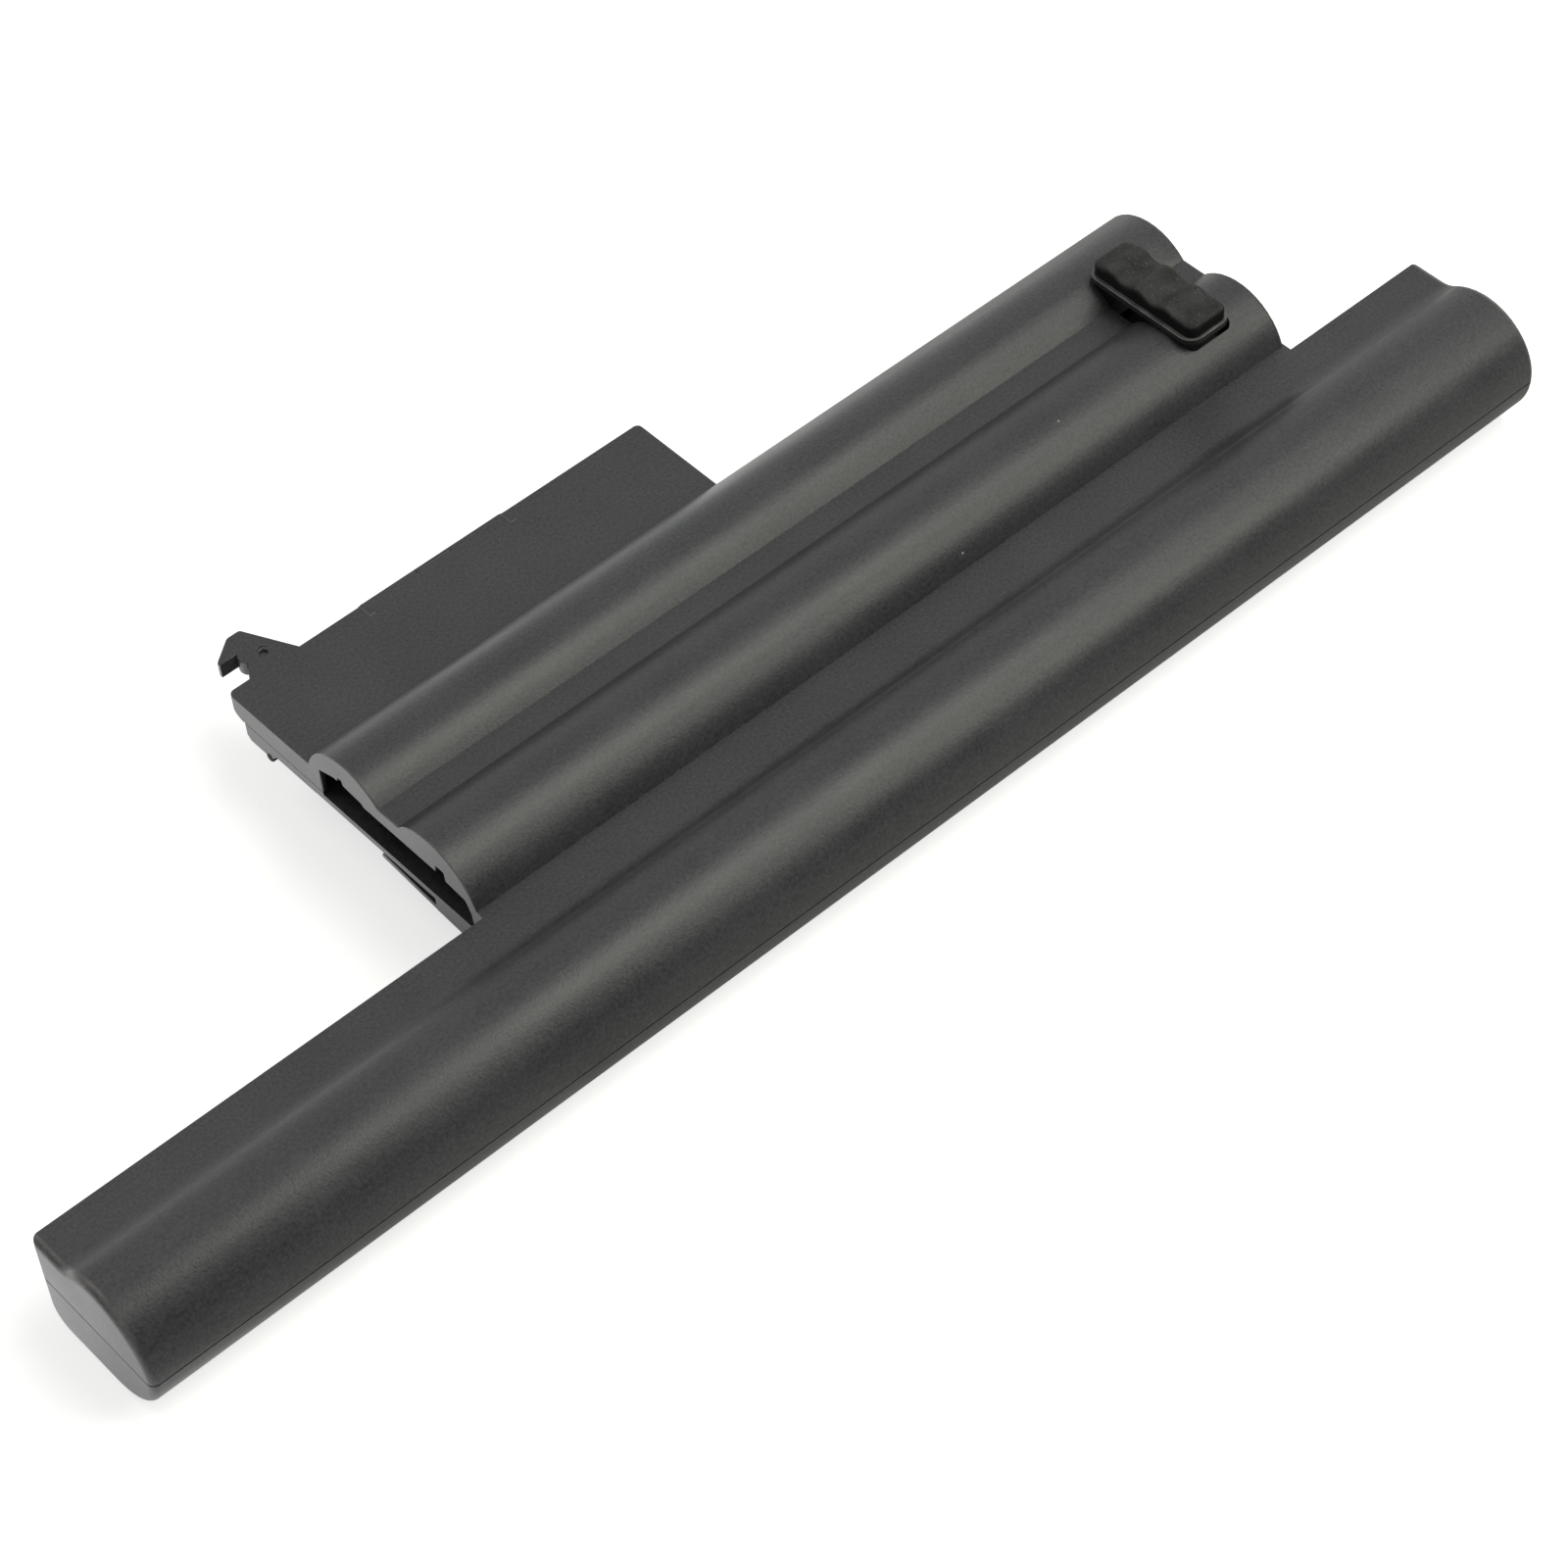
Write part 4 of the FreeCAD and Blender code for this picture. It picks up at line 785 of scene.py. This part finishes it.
def plate(name, left, front, width, depth):
    """A small flat plate at the keys' foot, given by its corner, ready to be extruded."""
    select_only()
    bpy.ops.mesh.primitive_plane_add(size=1, location=(0, 0, 0))
    piece = bpy.context.view_layer.objects.active
    piece.name = piece.data.name = name
    bpy.ops.object.mode_set(mode="EDIT")
    bpy.ops.transform.resize(value=(width * MM, depth * MM, 1))
    middle = Vector((left + width / 2, front + depth / 2, KEY_LOW)) * MM
    bpy.ops.transform.translate(value=middle)
    bpy.ops.object.mode_set(mode="OBJECT")
    return piece


def extrude(x, y, z):
    """Extrudes what is picked by a move in mm."""
    bpy.ops.mesh.extrude_region_move(TRANSFORM_OT_translate={"value": Vector((x, y, z)) * MM})


def raise_plate(piece, rim):
    """Extrudes the flat outline up to the top and rounds its upper rim."""
    pick(piece, "FACE", lambda middle: True)
    extrude(0, 0, MARK_TOP - KEY_LOW)
    bpy.ops.mesh.select_all(action="SELECT")
    bpy.ops.mesh.normals_make_consistent(inside=False)
    bpy.ops.object.mode_set(mode="OBJECT")
    round_edges(piece, rim * MM, lambda place: near(place.z, MARK_TOP))


def paint_highlight_whole(piece, share):
    """Gives every point of a small piece one share of painted highlight, in place of its rims."""
    piece.vertex_groups.clear()
    sheen_and_wear = piece.vertex_groups.new(name="sheen_and_wear")
    sheen_and_wear.add([vertex.index for vertex in piece.data.vertices], share, "REPLACE")


marks = []
for slit_left in KEY_LEFT:
    left, front = slit_left + SLIT_PLAY, KEY_FRONT + SLIT_PLAY
    right, rear = left + KEY_WIDTH, front + KEY_WIDTH
    key = plate("connector_key", left, front, KEY_WIDTH, KEY_WIDTH)
    pick(key, "EDGE", lambda middle: near(middle.x, right))
    extrude(KEY_LEG - KEY_WIDTH, 0, 0)
    pick(key, "EDGE", lambda middle: near(middle.y, rear) and middle.x < right)
    extrude(0, WING_REAR - KEY_FRONT - KEY_WIDTH - KEY_SHORT_OF_REAR, 0)
    raise_plate(key, rim=0.07)
    # The key is painted paler as a whole: a painted highlight.
    paint_highlight_whole(key, MARKS_HIGHLIGHT)
    marks.append(key)
rib = plate("finger_rib", RIB_LEFT, RIB_FRONT, RIB_RIGHT - RIB_LEFT, RIB_DEPTH)
raise_plate(rib, rim=0.08)
# The rib is painted paler as a whole: a painted highlight.
paint_highlight_whole(rib, MARKS_HIGHLIGHT)
marks.append(rib)

# %% [markdown]
# The fourth is the raised lip beside the dimple of the hook. A sharp crescent could be cut out of the
# wing, but a thin ring is simpler: sunk into the plastic and tipped a little, only its rear half
# stands out. All four are one piece of the casing's own plastic, so they are joined.

# %% Dimple lip
DIMPLE_PLACE = (-47.25, 77.07, WING_HEIGHT - 0.07)
LIP_RADIUS = 1.3
LIP_THICKNESS = 0.1
LIP_TILT = math.radians(6.5)
LIP_HIGHLIGHT = 0.5

select_only()
bpy.ops.mesh.primitive_torus_add(major_radius=LIP_RADIUS * MM, minor_radius=LIP_THICKNESS * MM,
                                 major_segments=48, minor_segments=10)
dimple_lip = bpy.context.view_layer.objects.active
bpy.ops.object.mode_set(mode="EDIT")
bpy.ops.transform.rotate(value=-LIP_TILT, orient_axis="X", center_override=(0, 0, 0))
bpy.ops.transform.translate(value=Vector(DIMPLE_PLACE) * MM)
bpy.ops.object.mode_set(mode="OBJECT")
# The lip is painted paler as a whole: a painted highlight.
paint_highlight_whole(dimple_lip, LIP_HIGHLIGHT)
marks.append(dimple_lip)

select_only(*marks)
bpy.ops.object.join()
wing_marks = bpy.context.view_layer.objects.active
wing_marks.name = wing_marks.data.name = "wing_marks"
wing_marks.data.materials.append(casing)
shade(wing_marks)
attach(wing_marks, "pack")
print("wing_marks", len(wing_marks.data.polygons), "faces")

# %% [markdown]
# A soft pad covers the small foot under the wing's free end and keeps the wing off the laptop. Its
# half-round section could be drawn and extruded. A cylinder laid on its side, with its ends rounded
# over, does the same with less work, because the foot hides the rest of it.

# %% Foot pad
PAD_PLACE = (-53.65, 65.9, 10.9)
PAD_RADIUS = 0.85
PAD_LENGTH = 4.9
PAD_END_ROUND = 0.35

select_only()
bpy.ops.mesh.primitive_cylinder_add(vertices=32, radius=PAD_RADIUS * MM, depth=PAD_LENGTH * MM)
foot_pad = bpy.context.view_layer.objects.active
foot_pad.name = foot_pad.data.name = "foot_pad"
bpy.ops.object.mode_set(mode="EDIT")
bpy.ops.transform.rotate(value=math.pi / 2, orient_axis="Y", center_override=(0, 0, 0))
bpy.ops.transform.translate(value=Vector(PAD_PLACE) * MM)
bpy.ops.object.mode_set(mode="OBJECT")
round_edges(foot_pad, PAD_END_ROUND * MM, lambda place: True, angle=60)
foot_pad.data.materials.append(grip_rubber)
shade(foot_pad)
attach(foot_pad, "pack")

# %% [markdown]
# The camera stands where the photographer stood. Its place and direction were worked out from known
# lengths in the picture, and it has a long lens, so parallel edges stay nearly parallel.

# %% Camera
CAMERA_PLACE = Vector((-0.26098, -0.31877, 0.49089))
CAMERA_RIGHT = Vector((0.74513, -0.66449, -0.05681))
CAMERA_DOWN = Vector((-0.53170, -0.54048, -0.65205))
SENSOR_WIDTH = 36.0
FOCAL_SHARE = 4466.84 / 1600

lens = bpy.data.cameras.new("camera")
lens.sensor_width = SENSOR_WIDTH
lens.lens = SENSOR_WIDTH * FOCAL_SHARE
camera = bpy.data.objects.new("camera", lens)
bpy.context.collection.objects.link(camera)
forward = CAMERA_RIGHT.cross(CAMERA_DOWN).normalized()
turned = Matrix((CAMERA_RIGHT, -CAMERA_DOWN, -forward)).transposed()
camera.matrix_world = Matrix.Translation(CAMERA_PLACE) @ turned.to_4x4()
bpy.context.scene.camera = camera
print("lens in mm", round(lens.lens, 1))

# %% [markdown]
# The battery lies on a white sweep. A diffuse floor keeps the shadow, and a share of plain white is
# added for camera rays, which makes the picture's clean white ground. Reflections get their own painted
# share: the floor glows for reflected rays, strongly to the left and behind, where the end faces of the
# casing mirror it, and not in front or under the block and the wing, where this painted reflection
# leaves a painted shadow for low faces to mirror. A lamp for each would light the object too, so the
# shares are masks on the floor's place, in metres.

# %% Floor
FLOOR_SIZE = 12
FLOOR_GAP = 0.05 * MM
FLOOR_WHITE = 0.8
SEEN_LIFT = 0.66
SHADED_LIFT, LIT_LIFT = 0.12, 1.4
LIT_SLANT = -0.6
LIT_FROM = (0.04, 0.10)
UNDER_BLOCK_X = (-0.0590, -0.0555)
UNDER_WING_Y = 0.0755


def make_floor():
    select_only()
    bpy.ops.mesh.primitive_plane_add(size=FLOOR_SIZE, location=(0, 0, solid_low.z - FLOOR_GAP))
    floor = bpy.context.view_layer.objects.active
    floor.name = "floor"
    material, tree, shader = new_material("floor white")
    shader.inputs["Base Color"].default_value = (FLOOR_WHITE, FLOOR_WHITE, FLOOR_WHITE, 1)
    shader.inputs["Roughness"].default_value = 0.9
    shader.inputs["Specular IOR Level"].default_value = 0.0
    path = tree.nodes.new("ShaderNodeLightPath")
    place = tree.nodes.new("ShaderNodeSeparateXYZ")
    tree.links.new(object_place(tree), place.inputs["Vector"])
    # A painted reflection: the floor glows for reflected rays, more to the left and behind, with a painted
    # shadow under the block and the wing.
    leftward = calculate(tree, "MULTIPLY_ADD", place.outputs["X"], LIT_SLANT, place.outputs["Y"])
    lit = stretch(tree, leftward, SHADED_LIFT, LIT_LIFT, *LIT_FROM, smooth=True)
    beyond_start = stretch(tree, place.outputs["X"], 0.0, 1.0, *UNDER_BLOCK_X)
    before_rear = calculate(tree, "LESS_THAN", place.outputs["Y"], UNDER_WING_Y)
    covered = calculate(tree, "MULTIPLY", beyond_start, before_rear)
    open_floor = calculate(tree, "MULTIPLY_ADD", covered, -1.0, 1.0)
    glossy = calculate(tree, "MAXIMUM", path.outputs["Is Glossy Ray"], path.outputs["Is Transmission Ray"])
    mirrored = calculate(tree, "MULTIPLY", glossy, calculate(tree, "MULTIPLY", lit, open_floor))
    seen = calculate(tree, "MULTIPLY", path.outputs["Is Camera Ray"], SEEN_LIFT)
    shader.inputs["Emission Color"].default_value = (1, 1, 1, 1)
    tree.links.new(calculate(tree, "ADD", seen, mirrored), shader.inputs["Emission Strength"])
    floor.data.materials.append(material)


make_floor()

# %% [markdown]
# The room is white above and behind the battery, and darker behind the photographer. That darker side
# is what draws the dark band along each hump below its light one. A second dark side, low at the left,
# draws the dark line under the light one on the end edges. Both belong to the room, not to the camera,
# so they stay where they are in other views. A dark side is given by its direction, by the two cosines
# between which it fades in, and by the share of light left in it. Camera rays see plain white.

# %% World
DARK_SIDES = (
    (Vector((0.22, -0.96, 0.16)).normalized(), 0.35, 0.95, 0.24),
    (Vector((-0.86, 0.50, 0.10)).normalized(), 0.88, 0.98, 0.25),
)
GLOSS_LEVEL = 0.86
ROOM_LEVEL = 0.25


def make_world():
    world = bpy.data.worlds.new("studio")
    bpy.context.scene.world = world
    world.use_nodes = True
    tree = world.node_tree
    path = tree.nodes.new("ShaderNodeLightPath")
    sight = tree.nodes.new("ShaderNodeTexCoord").outputs["Generated"]
    level = GLOSS_LEVEL
    for side, start, end, dark in DARK_SIDES:
        toward = tree.nodes.new("ShaderNodeVectorMath")
        toward.operation = "DOT_PRODUCT"
        toward.inputs[1].default_value = side
        tree.links.new(sight, toward.inputs[0])
        fade = stretch(tree, toward.outputs["Value"], 1.0, dark, start, end, smooth=True)
        level = calculate(tree, "MULTIPLY", fade, level)
    glossy = calculate(tree, "MULTIPLY", path.outputs["Is Glossy Ray"], level)
    plain = calculate(tree, "MAXIMUM", path.outputs["Is Camera Ray"], path.outputs["Is Transmission Ray"])
    bright = calculate(tree, "MAXIMUM", glossy, plain)
    special = calculate(tree, "MAXIMUM", path.outputs["Is Glossy Ray"], plain)
    room = calculate(tree, "MULTIPLY", calculate(tree, "SUBTRACT", 1.0, special), ROOM_LEVEL)
    background = tree.nodes["Background"]
    background.inputs["Color"].default_value = (1, 1, 1, 1)
    tree.links.new(calculate(tree, "ADD", bright, room), background.inputs["Strength"])
    print("world with", len(DARK_SIDES), "dark sides")


make_world()

# %% [markdown]
# Three slightly warm soft boxes hang over the object. The overhead one makes the band along the left
# of each hump and the right one carries it on to the right. The small left one draws the light line on
# the rounded edges that face the camera's left.

# %% Lamps
LAMP_DISTANCE = 1.2
WARM_WHITE = (1.0, 0.985, 0.87)
WARMER_WHITE = (1.0, 0.97, 0.87)


def soft_box(name, direction, width, height, radiance, colour):
    """An area lamp that faces the middle of the object."""
    lamp = bpy.data.lights.new(name, "AREA")
    lamp.shape = "RECTANGLE"
    lamp.size = width
    lamp.size_y = height
    lamp.energy = radiance * math.pi * width * height
    lamp.color = colour
    box = bpy.data.objects.new(name, lamp)
    bpy.context.collection.objects.link(box)
    aim = Vector(direction).normalized()
    box.location = aim * LAMP_DISTANCE
    box.rotation_mode = "QUATERNION"
    box.rotation_quaternion = aim.to_track_quat("Z", "Y")
    print(name, "of", round(lamp.energy, 2), "W")


soft_box("overhead box", (0.30, -0.24, 0.92), width=0.7, height=0.5, radiance=4.7, colour=WARM_WHITE)
soft_box("left box", (-0.30, 0.50, 0.81), width=0.4, height=0.3, radiance=3.1, colour=WARMER_WHITE)
soft_box("right box", (0.56, -0.58, 0.60), width=0.6, height=0.5, radiance=3.9, colour=WARM_WHITE)
bpy.context.scene.view_settings.view_transform = "Standard"
